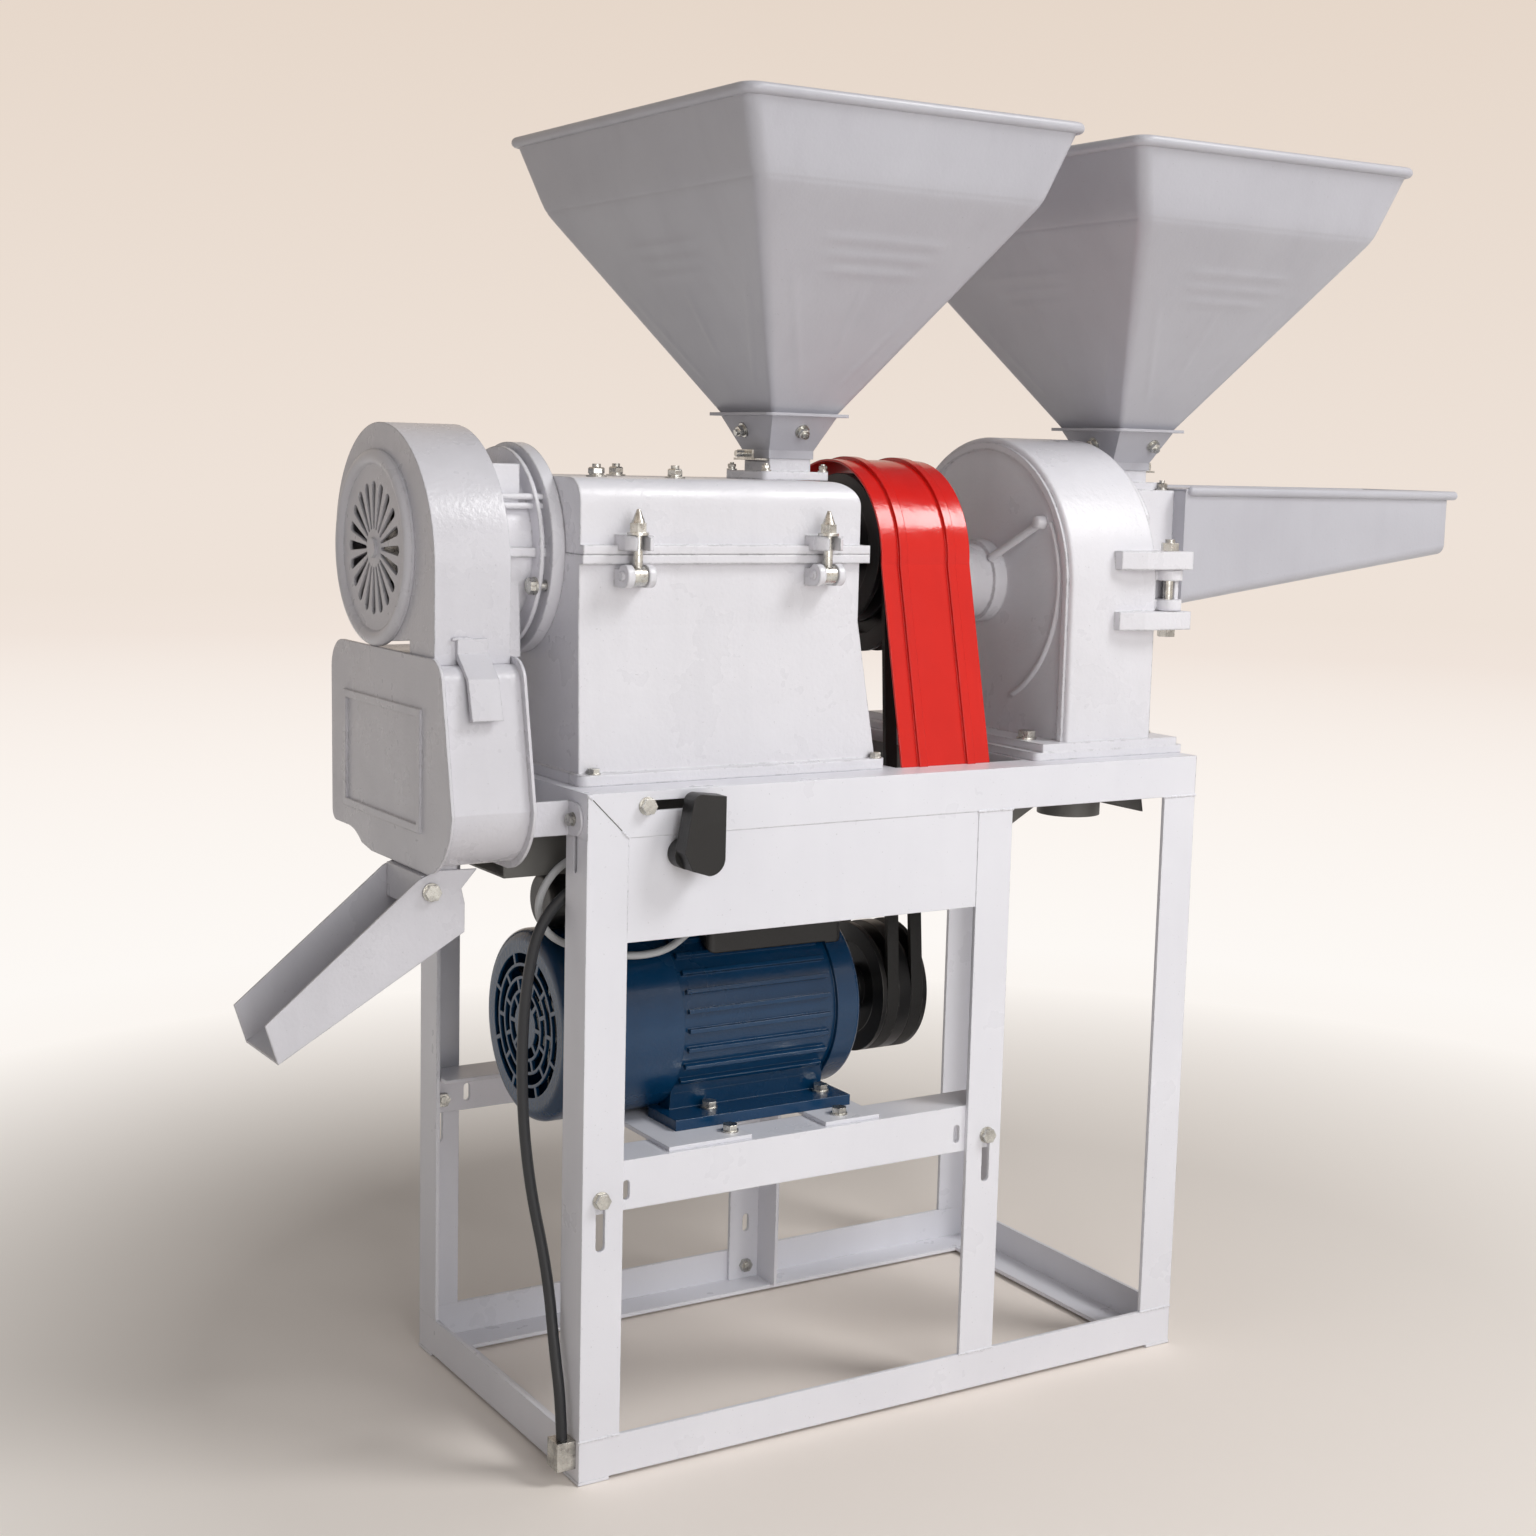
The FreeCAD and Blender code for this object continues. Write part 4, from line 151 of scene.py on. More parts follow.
def enamel_group(edges):
    """Sprayed enamel: cloudy colour, orange peel or cast pits, dust and worn edges."""
    colour, number = "NodeSocketColor", "NodeSocketFloat"
    tree, start, end = new_group(
        "enamel",
        [("Paint", colour, (0.8, 0.8, 0.8, 1)), ("Thin Paint", colour, (0.5, 0.5, 0.5, 1)),
         ("Bare Metal", colour, (0.3, 0.3, 0.3, 1)), ("Peel Scale", number, 300.0),
         ("Peel Height", number, 0.1), ("Pit Scale", number, 60.0), ("Pit Height", number, 0.1),
         ("Wear", number, 0.3), ("Gloss Low", number, 0.25), ("Gloss High", number, 0.45),
         ("Edge Radius", number, 0.001)],
        [("Color", colour), ("Roughness", number), ("Normal", "NodeSocketVector")])
    place = tree.nodes.new("ShaderNodeTexCoord").outputs["Object"]
    link = tree.links.new
    edge = tree.nodes.new("ShaderNodeGroup")
    edge.node_tree = edges
    link(start.outputs["Edge Radius"], edge.inputs["Radius"])
    cloud = spread(tree, noise(tree, place, 5.0, 4.0), 0.35, 0.7)
    streak_place = tree.nodes.new("ShaderNodeMapping")
    streak_place.inputs["Scale"].default_value = (30, 30, 3)
    link(place, streak_place.inputs["Vector"])
    streak = spread(tree, noise(tree, streak_place.outputs["Vector"], 1.0, 3.0), 0.5, 0.75)
    thin = combine(tree, "MULTIPLY", cloud, 0.55)
    thin = combine(tree, "ADD", thin, combine(tree, "MULTIPLY", streak, 0.2))
    paint = mix_colour(tree, thin, start.outputs["Paint"], start.outputs["Thin Paint"])
    chips = spread(tree, noise(tree, place, 90.0, 5.0, 0.7), 0.52, 0.6)
    worn = combine(tree, "MULTIPLY", chips, edge.outputs["Edge"])
    worn = combine(tree, "MULTIPLY", worn, start.outputs["Wear"])
    specks = spread(tree, noise(tree, place, 420.0, 2.0), 0.72, 0.76)
    worn = combine(tree, "MAXIMUM", worn, combine(tree, "MULTIPLY", specks, 0.25))
    link(mix_colour(tree, worn, paint, start.outputs["Bare Metal"]), end.inputs["Color"])
    smear = noise(tree, place, 14.0, 4.0, 0.6)
    link(spread(tree, smear, 0.3, 0.7, start.outputs["Gloss Low"], start.outputs["Gloss High"]),
         end.inputs["Roughness"])
    peel = combine(tree, "MULTIPLY", noise(tree, place, start.outputs["Peel Scale"], 2.0),
                   start.outputs["Peel Height"])
    pits = combine(tree, "MULTIPLY", noise(tree, place, start.outputs["Pit Scale"], 4.0, 0.6),
                   start.outputs["Pit Height"])
    bump = tree.nodes.new("ShaderNodeBump")
    bump.inputs["Distance"].default_value = 0.001
    link(combine(tree, "ADD", peel, pits), bump.inputs["Height"])
    link(edge.outputs["Normal"], bump.inputs["Normal"])
    link(bump.outputs["Normal"], end.inputs["Normal"])
    return tree


def metal_group(edges):
    """Plated or machined metal: fine scratches, dull patches and oily film."""
    colour, number = "NodeSocketColor", "NodeSocketFloat"
    tree, start, end = new_group(
        "worked metal",
        [("Metal", colour, (0.6, 0.6, 0.6, 1)), ("Tarnish", colour, (0.3, 0.3, 0.3, 1)),
         ("Scratch Scale", number, 400.0), ("Gloss Low", number, 0.2),
         ("Gloss High", number, 0.45), ("Edge Radius", number, 0.0005)],
        [("Color", colour), ("Roughness", number), ("Normal", "NodeSocketVector")])
    place = tree.nodes.new("ShaderNodeTexCoord").outputs["Object"]
    link = tree.links.new
    edge = tree.nodes.new("ShaderNodeGroup")
    edge.node_tree = edges
    link(start.outputs["Edge Radius"], edge.inputs["Radius"])
    patch = spread(tree, noise(tree, place, 70.0, 4.0, 0.6), 0.42, 0.68)
    link(mix_colour(tree, patch, start.outputs["Metal"], start.outputs["Tarnish"]),
         end.inputs["Color"])
    scratch = noise(tree, place, start.outputs["Scratch Scale"], 3.0)
    link(spread(tree, scratch, 0.3, 0.7, start.outputs["Gloss Low"],
                start.outputs["Gloss High"]), end.inputs["Roughness"])
    bump = tree.nodes.new("ShaderNodeBump")
    bump.inputs["Distance"].default_value = 0.0004
    bump.inputs["Strength"].default_value = 0.35
    link(scratch, bump.inputs["Height"])
    link(edge.outputs["Normal"], bump.inputs["Normal"])
    link(bump.outputs["Normal"], end.inputs["Normal"])
    return tree


soft_edges = edge_group()
enamel = enamel_group(soft_edges)
worked_metal = metal_group(soft_edges)


def finish_with(name, group, values, **shader_values):
    """A material whose colour, roughness and normal come from a group with its own values."""
    material = bpy.data.materials.new(name)
    material.use_nodes = True
    tree = material.node_tree
    shader = tree.nodes["Principled BSDF"]
    source = tree.nodes.new("ShaderNodeGroup")
    source.node_tree = group
    for label, value in values.items():
        source.inputs[label].default_value = value
    tree.links.new(source.outputs["Color"], shader.inputs["Base Color"])
    tree.links.new(source.outputs["Roughness"], shader.inputs["Roughness"])
    tree.links.new(source.outputs["Normal"], shader.inputs["Normal"])
    for label, value in shader_values.items():
        shader.inputs[label.replace("_", " ")].default_value = value
    return material


def painted(name, paint, thin, wear=0.3, peel=(320, 0.05), pits=(60, 0.05), gloss=(0.25, 0.4),
            edge=0.0012, metal=(92, 90, 88)):
    return finish_with(name, enamel, {
        "Paint": srgb(*paint), "Thin Paint": srgb(*thin), "Bare Metal": srgb(*metal),
        "Peel Scale": peel[0], "Peel Height": peel[1], "Pit Scale": pits[0],
        "Pit Height": pits[1], "Wear": wear, "Gloss Low": gloss[0], "Gloss High": gloss[1],
        "Edge Radius": edge})


def plated(name, metal, tarnish, gloss=(0.2, 0.42), scratches=400.0, edge=0.0005):
    return finish_with(name, worked_metal, {
        "Metal": srgb(*metal), "Tarnish": srgb(*tarnish), "Scratch Scale": scratches,
        "Gloss Low": gloss[0], "Gloss High": gloss[1], "Edge Radius": edge}, Metallic=1.0)


FINISH = {
    "stand_paint": painted("stand enamel", (226, 226, 232), (216, 216, 223)),
    "casting_paint": painted("casting enamel", (224, 223, 228), (210, 209, 214),
                             peel=(260, 0.30), pits=(95, 0.35), gloss=(0.22, 0.42),
                             edge=0.003),
    "sheet_paint": painted("hopper enamel", (188, 188, 195), (172, 171, 179),
                           peel=(300, 0.12), pits=(40, 0.25), gloss=(0.3, 0.45)),
    "fan_paint": painted("fan enamel", (208, 207, 213), (190, 189, 195), peel=(280, 0.22),
                         pits=(110, 0.3), gloss=(0.2, 0.4), edge=0.0018),
    "guard_red": painted("red enamel", (214, 28, 20), (190, 16, 12), wear=0.4,
                         peel=(200, 0.16), pits=(60, 0.2), gloss=(0.12, 0.25),
                         metal=(120, 30, 24)),
    "motor_blue": painted("motor enamel", (6, 56, 92), (4, 44, 74), wear=0.35,
                          peel=(300, 0.2), pits=(90, 0.25), gloss=(0.16, 0.3),
                          metal=(60, 90, 110)),
    "pulley_black": painted("pulley black", (22, 22, 23), (14, 14, 15), wear=0.8,
                            gloss=(0.25, 0.45)),
    "bare_steel": plated("machined steel", (172, 172, 170), (120, 118, 114)),
    "zinc_steel": plated("zinc plate", (205, 205, 200), (150, 149, 146)),
    "dark_sheet": painted("dull sheet", (104, 103, 100), (84, 83, 80), gloss=(0.4, 0.6)),
    "belt_rubber": painted("belt rubber", (20, 20, 20), (14, 14, 14), wear=0.2,
                           peel=(600, 0.3), gloss=(0.55, 0.75), metal=(50, 50, 50)),
    "cord_rubber": painted("cord rubber", (40, 42, 46), (32, 34, 38), wear=0.0,
                           peel=(500, 0.1), gloss=(0.4, 0.55)),
    "lead_plastic": painted("pale lead", (196, 198, 200), (180, 182, 184), wear=0.0,
                            peel=(500, 0.08), gloss=(0.35, 0.5)),
    "black_plastic": painted("moulded black", (18, 18, 19), (12, 12, 13), wear=0.25,
                             peel=(700, 0.2), gloss=(0.3, 0.45), metal=(60, 60, 62)),
}
for row in frame["record"]["subparts"]:
    mesh = nodes[row["node"]].data
    mesh.materials.clear()
    mesh.materials.append(FINISH[row["material_slot"]])


# ---------------------------------------------------------------- cords
def cord_curve(name, route, radius, material):
    """A round cord along a smooth spline with the route's points as its control points."""
    data = bpy.data.curves.new(name, "CURVE")
    data.dimensions = "3D"
    data.bevel_depth = radius * MM
    data.bevel_resolution = 6
    data.resolution_u = 16
    data.use_fill_caps = True
    spline = data.splines.new("NURBS")
    spline.points.add(len(route) - 1)
    for point, place in zip(spline.points, route):
        point.co = (*spot(*place), 1.0)
    spline.order_u = 3
    spline.use_endpoint_u = True
    data.materials.append(material)
    piece = bpy.data.objects.new(name, data)
    bpy.context.scene.collection.objects.link(piece)
    return piece


mains_route = [(68, 24, 544), (26, 40, 541), (-15, 56, 506), (-27, 63, 440), (-28, 67, 350),
               (-22, 62, 265), (-9.5, 48, 185), (-10, 30, 115), (-9.5, 18, 75), (-9, 16, 39)]
lead_route = [(68, 30, 566), (36, 44, 562), (8, 68, 548), (-12, 74, 515), (-4, 76, 486),
              (24, 78, 468), (72, 72, 456), (112, 70, 456), (142, 80, 466), (167, 92, 480)]
mains = cord_curve("mains_cord", mains_route, 5.0, FINISH["cord_rubber"])
lead = cord_curve("motor_wire", lead_route, 3.5, FINISH["lead_plastic"])
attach(mains, "frame")
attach(lead, "frame")
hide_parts("power_cord")
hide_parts("motor_lead")


# ---------------------------------------------------------------- repeats by geometry nodes
def geometry_tree(name, inputs):
    """An empty geometry tree with named inputs, its two end nodes and its socket ids."""
    tree = bpy.data.node_groups.new(name, "GeometryNodeTree")
    tree.interface.new_socket("Geometry", in_out="INPUT", socket_type="NodeSocketGeometry")
    ids = {}
    for label, kind, value in inputs:
        socket = tree.interface.new_socket(label, in_out="INPUT", socket_type=kind)
        if value is not None:
            socket.default_value = value
        ids[label] = socket.identifier
    tree.interface.new_socket("Geometry", in_out="OUTPUT", socket_type="NodeSocketGeometry")
    return tree, tree.nodes.new("NodeGroupInput"), tree.nodes.new("NodeGroupOutput"), ids


def lathe_part(tree, kind, settings, lift):
    """A cylinder or cone primitive with its foot at height lift, which is a socket or number."""
    node = tree.nodes.new(kind)
    for label, value in settings.items():
        if isinstance(value, (int, float)):
            node.inputs[label].default_value = value
        else:
            tree.links.new(value, node.inputs[label])
    move = tree.nodes.new("GeometryNodeTransform")
    height = tree.nodes.new("ShaderNodeCombineXYZ")
    if kind == "GeometryNodeMeshCylinder":
        depth = settings["Depth"]
        lift = combine(tree, "ADD", lift, combine(tree, "MULTIPLY", depth, 0.5))
    if isinstance(lift, (int, float)):
        height.inputs["Z"].default_value = lift
    else:
        tree.links.new(lift, height.inputs["Z"])
    tree.links.new(node.outputs["Mesh"], move.inputs["Geometry"])
    tree.links.new(height.outputs[0], move.inputs["Translation"])
    return move.outputs["Geometry"]


# Metres, from a bolt's face upwards: washer, spring ring and the foot of its head.
WASHER_THICK, RING_FOOT, RING_THICK, HEAD_FOOT = 0.0014, 0.0015, 0.0016, 0.0031
HEAD_SHARE, CROWN_SHARE, CROWN_TAPER = 0.8, 0.2, 0.84


def bolt_tree():
    """Hex bolts with washer, spring ring and thread end, one on each point."""
    number = "NodeSocketFloat"
    tree, start, end, ids = geometry_tree("hex bolts", [
        ("Across", number, 0.013), ("Height", number, 0.005), ("Washer", number, 0.009),
        ("Thread", number, 0.004), ("Thread Out", number, 0.004),
        ("Seed", "NodeSocketInt", 1), ("Material", "NodeSocketMaterial", None)])
    link = tree.links.new
    out = start.outputs
    corner = combine(tree, "MULTIPLY", out["Across"], 1 / math.sqrt(3))
    plate = lathe_part(tree, "GeometryNodeMeshCylinder",
                       {"Vertices": 24, "Radius": out["Washer"], "Depth": WASHER_THICK}, 0.0)
    ring = lathe_part(tree, "GeometryNodeMeshCylinder",
                      {"Vertices": 24, "Radius": combine(tree, "MULTIPLY", out["Across"], 0.52),
                       "Depth": RING_THICK}, RING_FOOT)
    body_height = combine(tree, "MULTIPLY", out["Height"], HEAD_SHARE)
    head = lathe_part(tree, "GeometryNodeMeshCylinder",
                      {"Vertices": 6, "Radius": corner, "Depth": body_height}, HEAD_FOOT)
    crown_foot = combine(tree, "ADD", body_height, HEAD_FOOT)
    crown = lathe_part(tree, "GeometryNodeMeshCone", {
        "Vertices": 6, "Radius Bottom": corner,
        "Radius Top": combine(tree, "MULTIPLY", corner, CROWN_TAPER),
        "Depth": combine(tree, "MULTIPLY", out["Height"], CROWN_SHARE)}, crown_foot)
    thread = lathe_part(tree, "GeometryNodeMeshCylinder", {
        "Vertices": 16, "Radius": out["Thread"], "Depth": out["Thread Out"]},
        combine(tree, "ADD", out["Height"], HEAD_FOOT))
    join = tree.nodes.new("GeometryNodeJoinGeometry")
    for shape in (thread, crown, head, ring, plate):
        link(shape, join.inputs[0])
    facing = tree.nodes.new("GeometryNodeInputNamedAttribute")
    facing.data_type = "FLOAT_VECTOR"
    facing.inputs["Name"].default_value = "facing"
    turn = tree.nodes.new("FunctionNodeAlignRotationToVector")
    turn.axis = "Z"
    link(facing.outputs["Attribute"], turn.inputs["Vector"])
    place = tree.nodes.new("GeometryNodeInstanceOnPoints")
    link(out["Geometry"], place.inputs["Points"])
    link(join.outputs[0], place.inputs["Instance"])
    link(turn.outputs[0], place.inputs["Rotation"])
    spin = tree.nodes.new("FunctionNodeRandomValue")
    spin.data_type = "FLOAT"
    link(out["Seed"], spin.inputs["Seed"])
    spin.inputs[3].default_value = math.pi / 3
    angles = tree.nodes.new("ShaderNodeCombineXYZ")
    link(spin.outputs[1], angles.inputs["Z"])
    rotate = tree.nodes.new("GeometryNodeRotateInstances")
    link(place.outputs["Instances"], rotate.inputs["Instances"])
    link(angles.outputs[0], rotate.inputs["Rotation"])
    real = tree.nodes.new("GeometryNodeRealizeInstances")
    link(rotate.outputs["Instances"], real.inputs["Geometry"])
    paint = tree.nodes.new("GeometryNodeSetMaterial")
    link(real.outputs["Geometry"], paint.inputs["Geometry"])
    link(out["Material"], paint.inputs["Material"])
    link(paint.outputs["Geometry"], end.inputs["Geometry"])
    return tree, ids


def bead_tree():
    """A weld bead: overlapping round drops of random size along each line of the mesh."""
    number = "NodeSocketFloat"
    tree, start, end, ids = geometry_tree("weld bead", [
        ("Width", number, 0.004), ("Spacing", number, 0.0022), ("Uneven", number, 0.25),
        ("Seed", "NodeSocketInt", 3), ("Material", "NodeSocketMaterial", None)])
    link = tree.links.new
    out = start.outputs
    line = tree.nodes.new("GeometryNodeMeshToCurve")
    link(out["Geometry"], line.inputs[0])
    points = tree.nodes.new("GeometryNodeCurveToPoints")
    points.mode = "LENGTH"
    link(line.outputs[0], points.inputs["Curve"])
    link(out["Spacing"], points.inputs["Length"])
    drop = tree.nodes.new("GeometryNodeMeshIcoSphere")
    drop.inputs["Subdivisions"].default_value = 2
    link(combine(tree, "MULTIPLY", out["Width"], 0.5), drop.inputs["Radius"])
    size = tree.nodes.new("FunctionNodeRandomValue")
    size.data_type = "FLOAT"
    link(out["Seed"], size.inputs["Seed"])
    link(combine(tree, "SUBTRACT", 1.0, out["Uneven"]), size.inputs[2])
    link(combine(tree, "ADD", 1.0, out["Uneven"]), size.inputs[3])
    place = tree.nodes.new("GeometryNodeInstanceOnPoints")
    link(points.outputs["Points"], place.inputs["Points"])
    link(drop.outputs["Mesh"], place.inputs["Instance"])
    link(size.outputs[1], place.inputs["Scale"])
    real = tree.nodes.new("GeometryNodeRealizeInstances")
    link(place.outputs["Instances"], real.inputs["Geometry"])
    paint = tree.nodes.new("GeometryNodeSetMaterial")
    link(real.outputs["Geometry"], paint.inputs["Geometry"])
    link(out["Material"], paint.inputs["Material"])
    link(paint.outputs["Geometry"], end.inputs["Geometry"])
    return tree, ids


BOLTS = bolt_tree()
BEADS = bead_tree()


def grow(name, mesh, tree_and_ids, values, body):
    """Run a geometry tree on a mesh, keep the plain result and let it ride on its body."""
    tree, ids = tree_and_ids
    piece = bpy.data.objects.new(name, mesh)
    bpy.context.scene.collection.objects.link(piece)
    modifier = piece.modifiers.new("repeat", "NODES")
    modifier.node_group = tree
    for label, value in values.items():
        modifier[ids[label]] = value
    bpy.context.view_layer.update()
    made = bpy.data.meshes.new_from_object(
        piece.evaluated_get(bpy.context.evaluated_depsgraph_get()))
    piece.modifiers.remove(modifier)
    piece.data = made
    made.name = name
    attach(piece, body)
    return piece


# Head height, washer radius and thread radius as shares of the width across flats.
HEIGHT_SHARE, WASHER_SHARE, THREAD_SHARE = 0.42, 0.72, 0.3


def bolts(name, body, spots, across=13.0, thread_out=3.0, seed=1):
    """Hex bolts at stand points; each spot is (place, direction) and sits on that face."""
    mesh = bpy.data.meshes.new(name)
    mesh.from_pydata([spot(*place) for place, facing in spots], [], [])
    mesh.attributes.new("facing", "FLOAT_VECTOR", "POINT")
    for k, (place, direction) in enumerate(spots):
        mesh.attributes["facing"].data[k].vector = Vector(direction).normalized()
    return grow(name, mesh, BOLTS, {
        "Across": across * MM, "Height": across * HEIGHT_SHARE * MM,
        "Washer": across * WASHER_SHARE * MM, "Thread": across * THREAD_SHARE * MM,
        "Thread Out": thread_out * MM, "Seed": seed,
        "Material": FINISH["zinc_steel"]}, body)


def welds(name, body, lines, width=4.0, slot="stand_paint", seed=3):
    """Weld beads along stand lines, each a list of points."""
    mesh = bpy.data.meshes.new(name)
    places, edges = [], []
    for line in lines:
        first = len(places)
        places += [spot(*place) for place in line]
        edges += [(first + k, first + k + 1) for k in range(len(line) - 1)]
    mesh.from_pydata(places, edges, [])
    return grow(name, mesh, BEADS, {"Width": width * MM, "Spacing": width * 0.5 * MM,
                                    "Uneven": 0.2, "Seed": seed,
                                    "Material": FINISH[slot]}, body)


# ---------------------------------------------------------------- mesh pieces
def keep_mesh(name, shape, body, slot, smooth=None):
    """Finish a bmesh as a piece that rides on a body; smooth is an angle in degrees."""
    bmesh.ops.remove_doubles(shape, verts=shape.verts, dist=1e-6)
    bmesh.ops.recalc_face_normals(shape, faces=shape.faces)
    mesh = bpy.data.meshes.new(name)
    shape.to_mesh(mesh)
    shape.free()
    mesh.materials.append(FINISH[slot])
    if smooth is not None:
        mesh.shade_smooth()
        mesh.set_sharp_from_angle(angle=math.radians(smooth))
    piece = bpy.data.objects.new(name, mesh)
    bpy.context.scene.collection.objects.link(piece)
    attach(piece, body)
    return piece


def tube_along(shape, path, radius, sides=12, closed=False):
    """Add a round tube through stand points to a bmesh; radius is a number or a list."""
    places = [spot(*place) for place in path]
    count = len(places)
    rings = []
    side = None
    for k, place in enumerate(places):
        ahead = places[(k + 1) % count] if closed or k < count - 1 else place
        behind = places[k - 1] if closed or k > 0 else place
        along = (ahead - behind).normalized()
        if side is None:
            side = along.orthogonal().normalized()
        side = (side - along * side.dot(along)).normalized()
        across = along.cross(side)
        size = (radius[k] if isinstance(radius, (list, tuple)) else radius) * MM
        rings.append([shape.verts.new(place + (side * math.cos(turn) + across * math.sin(turn))
                                      * size)
                      for turn in (2 * math.pi * n / sides for n in range(sides))])
    steps = count if closed else count - 1
    for k in range(steps):
        here, there = rings[k], rings[(k + 1) % count]
        for n in range(sides):
            shape.faces.new((here[n], here[(n + 1) % sides], there[(n + 1) % sides], there[n]))
    if not closed:
        shape.faces.new(rings[0])
        shape.faces.new(rings[-1])


def rounded_loop(half_x, half_y, radius, side_steps, corner_steps):
    """Points round a rectangle with rounded corners, and each one's side and outward way."""
    loop = []
    for turn, (ux, uy), (vx, vy), long_half, wide_half in (
            (0, (0, -1), (1, 0), half_x, half_y), (1, (1, 0), (0, 1), half_y, half_x),
            (2, (0, 1), (-1, 0), half_x, half_y), (3, (-1, 0), (0, -1), half_y, half_x)):
        for k in range(side_steps):
            share = -1 + 2 * k / (side_steps - 1)
            along = share * (long_half - radius)
            loop.append((ux * wide_half + vx * along, uy * wide_half + vy * along, ux, uy,
                         along, turn))
        for k in range(1, corner_steps):
            angle = math.pi / 2 * k / corner_steps
            out_x = ux * math.cos(angle) + vx * math.sin(angle)
            out_y = uy * math.cos(angle) + vy * math.sin(angle)
            centre_x = ux * (wide_half - radius) + vx * (long_half - radius)
            centre_y = uy * (wide_half - radius) + vy * (long_half - radius)
            loop.append((centre_x + out_x * radius, centre_y + out_y * radius, out_x, out_y,
                         None, turn))
    return loop


# Hopper sizes in mm: funnel mouth and fold as half widths, and the rolled rim.
MOUTH_HALVES, FOLD_HALVES, FOLD_RISE = (37.0, 50.0), (154.4, 208.6), 193.0
SHEET, RIM_RADIUS, RIM_CORNER = 1.5, 5.0, 12.0
FOLD_SOFTNESS, FOLD_REACH = 1.3, 2.5
# Short cross ridges of a hopper side: height above the mouth and half length, in mm.
CROSS_RIDGES = ((150.0, 62.0), (137.0, 56.0), (124.0, 46.0))


def bump_at(distance, half_width):
    """A smooth ridge profile: 1 on its line, fading over its half width."""
    return math.exp(-(distance / half_width) ** 2)


def pressed_ridges(along, rise, half):
    """Height of a hopper side's pressed ridges, in mm, at a place on its sloping face."""
    height = 0.0
    for level, reach in CROSS_RIDGES:
        ends = 1 / (1 + math.exp((abs(along) - reach) / 4))
        height += 1.7 * bump_at(rise - level, 3.6) * ends
    span = 1 / (1 + math.exp((rise - 112) / 3)) / (1 + math.exp((52 - rise) / 3))
    height += 1.3 * bump_at(along, 2.6) * span
    span = 1 / (1 + math.exp((rise - 122) / 4)) / (1 + math.exp((32 - rise) / 4))
    height += 1.2 * bump_at(half - abs(along) - 30, 2.8) * span
    return height


def hopper_piece(name, node, body):
    """A pressed sheet hopper: pyramid, upright band, rolled rim and stiffening ridges."""
    low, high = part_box(node)
    centre_x = ((low.x + high.x) / 2 - STAND_CORNER.x) / MM
    centre_y = ((low.y + high.y) / 2 - STAND_CORNER.y) / MM
    base = low.z / MM
    rim_x = (high.x - low.x) / 2 / MM
    rim_y = (high.y - low.y) / 2 / MM
    top = high.z / MM - RIM_RADIUS
    fold = base + FOLD_RISE
    outline = [(base, *MOUTH_HALVES), (fold, *FOLD_HALVES),
               (top, rim_x - RIM_RADIUS, rim_y - RIM_RADIUS)]
    heights = [base + (fold - base) * k / 62 for k in range(61)]
    heights += [fold - 3, fold - 1.2, fold, fold + 1.2, fold + 3]
    heights += [fold + 3 + (top - fold - 3) * k / 8 for k in range(1, 9)]
    shape = bmesh.new()
    layers = []
    for inner in (0.0, SHEET):
        rings = []
        for z in heights:
            (z0, x0, y0), (z1, x1, y1) = outline[:2] if z <= fold else outline[1:]
            share = (z - z0) / (z1 - z0)
            half_x = x0 + (x1 - x0) * share
            half_y = y0 + (y1 - y0) * share
            soften = FOLD_SOFTNESS * math.exp(-abs(z - fold) / FOLD_REACH)
            corner = 4.0 + 9.0 * min(1.0, (z - base) / (fold - base))
            ring = []
            for x, y, out_x, out_y, along, turn in rounded_loop(half_x, half_y, corner, 45, 6):
                push = -inner - soften
                if along is not None and z < fold:
                    half = half_x if turn % 2 == 0 else half_y
                    push += pressed_ridges(along, z - base, half)
                ring.append(shape.verts.new(spot(centre_x + x + out_x * push,
                                                 centre_y + y + out_y * push, z)))
            rings.append(ring)
        for here, there in zip(rings, rings[1:]):
            count = len(here)
            for n in range(count):
                shape.faces.new((here[n], here[(n + 1) % count], there[(n + 1) % count],
                                 there[n]))
        layers.append(rings)
    for end in (0, -1):
        outer, inner = layers[0][end], layers[1][end]
        count = len(outer)
        for n in range(count):
            shape.faces.new((outer[n], outer[(n + 1) % count], inner[(n + 1) % count],
                             inner[n]))
    half_x, half_y = rim_x - RIM_RADIUS, rim_y - RIM_RADIUS
    rim = [(centre_x + x, centre_y + y, top)
           for x, y, *_ in rounded_loop(half_x, half_y, RIM_CORNER, 3, 6)]
    tube_along(shape, rim, RIM_RADIUS, 14, closed=True)
    piece = keep_mesh(name, shape, body, "sheet_paint", 40)
    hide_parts(node)
    return piece


hopper_piece("rice_hopper_sheet", "rice_hopper", "huller_cover")
hopper_piece("grain_hopper_sheet", "grain_hopper", "grinder_door")


# ---------------------------------------------------------------- bolts
FUNNEL_LEFT, FUNNEL_FRONT, UP = (-0.95, 0.0, -0.32), (0.0, -0.81, -0.58), (0.0, 0.0, 1.0)
bolts("rice_funnel_bolts", "huller_cover",
      [((259.6, 192.0, 930.7), FUNNEL_LEFT), ((294.0, 141.7, 930.6), FUNNEL_FRONT)],
      across=10.0, seed=4)
bolts("grain_funnel_bolts", "grinder_door",
      [((682.6, 179.0, 927.7), FUNNEL_LEFT), ((731.0, 141.7, 927.6), FUNNEL_FRONT)],
      across=10.0, seed=5)
bolts("neck_bolts", "huller_cover",
      [((x, y, 892.0), UP) for x in (259.0, 323.0) for y in (148.0, 212.0)],
      across=7.0, thread_out=1.5, seed=6)
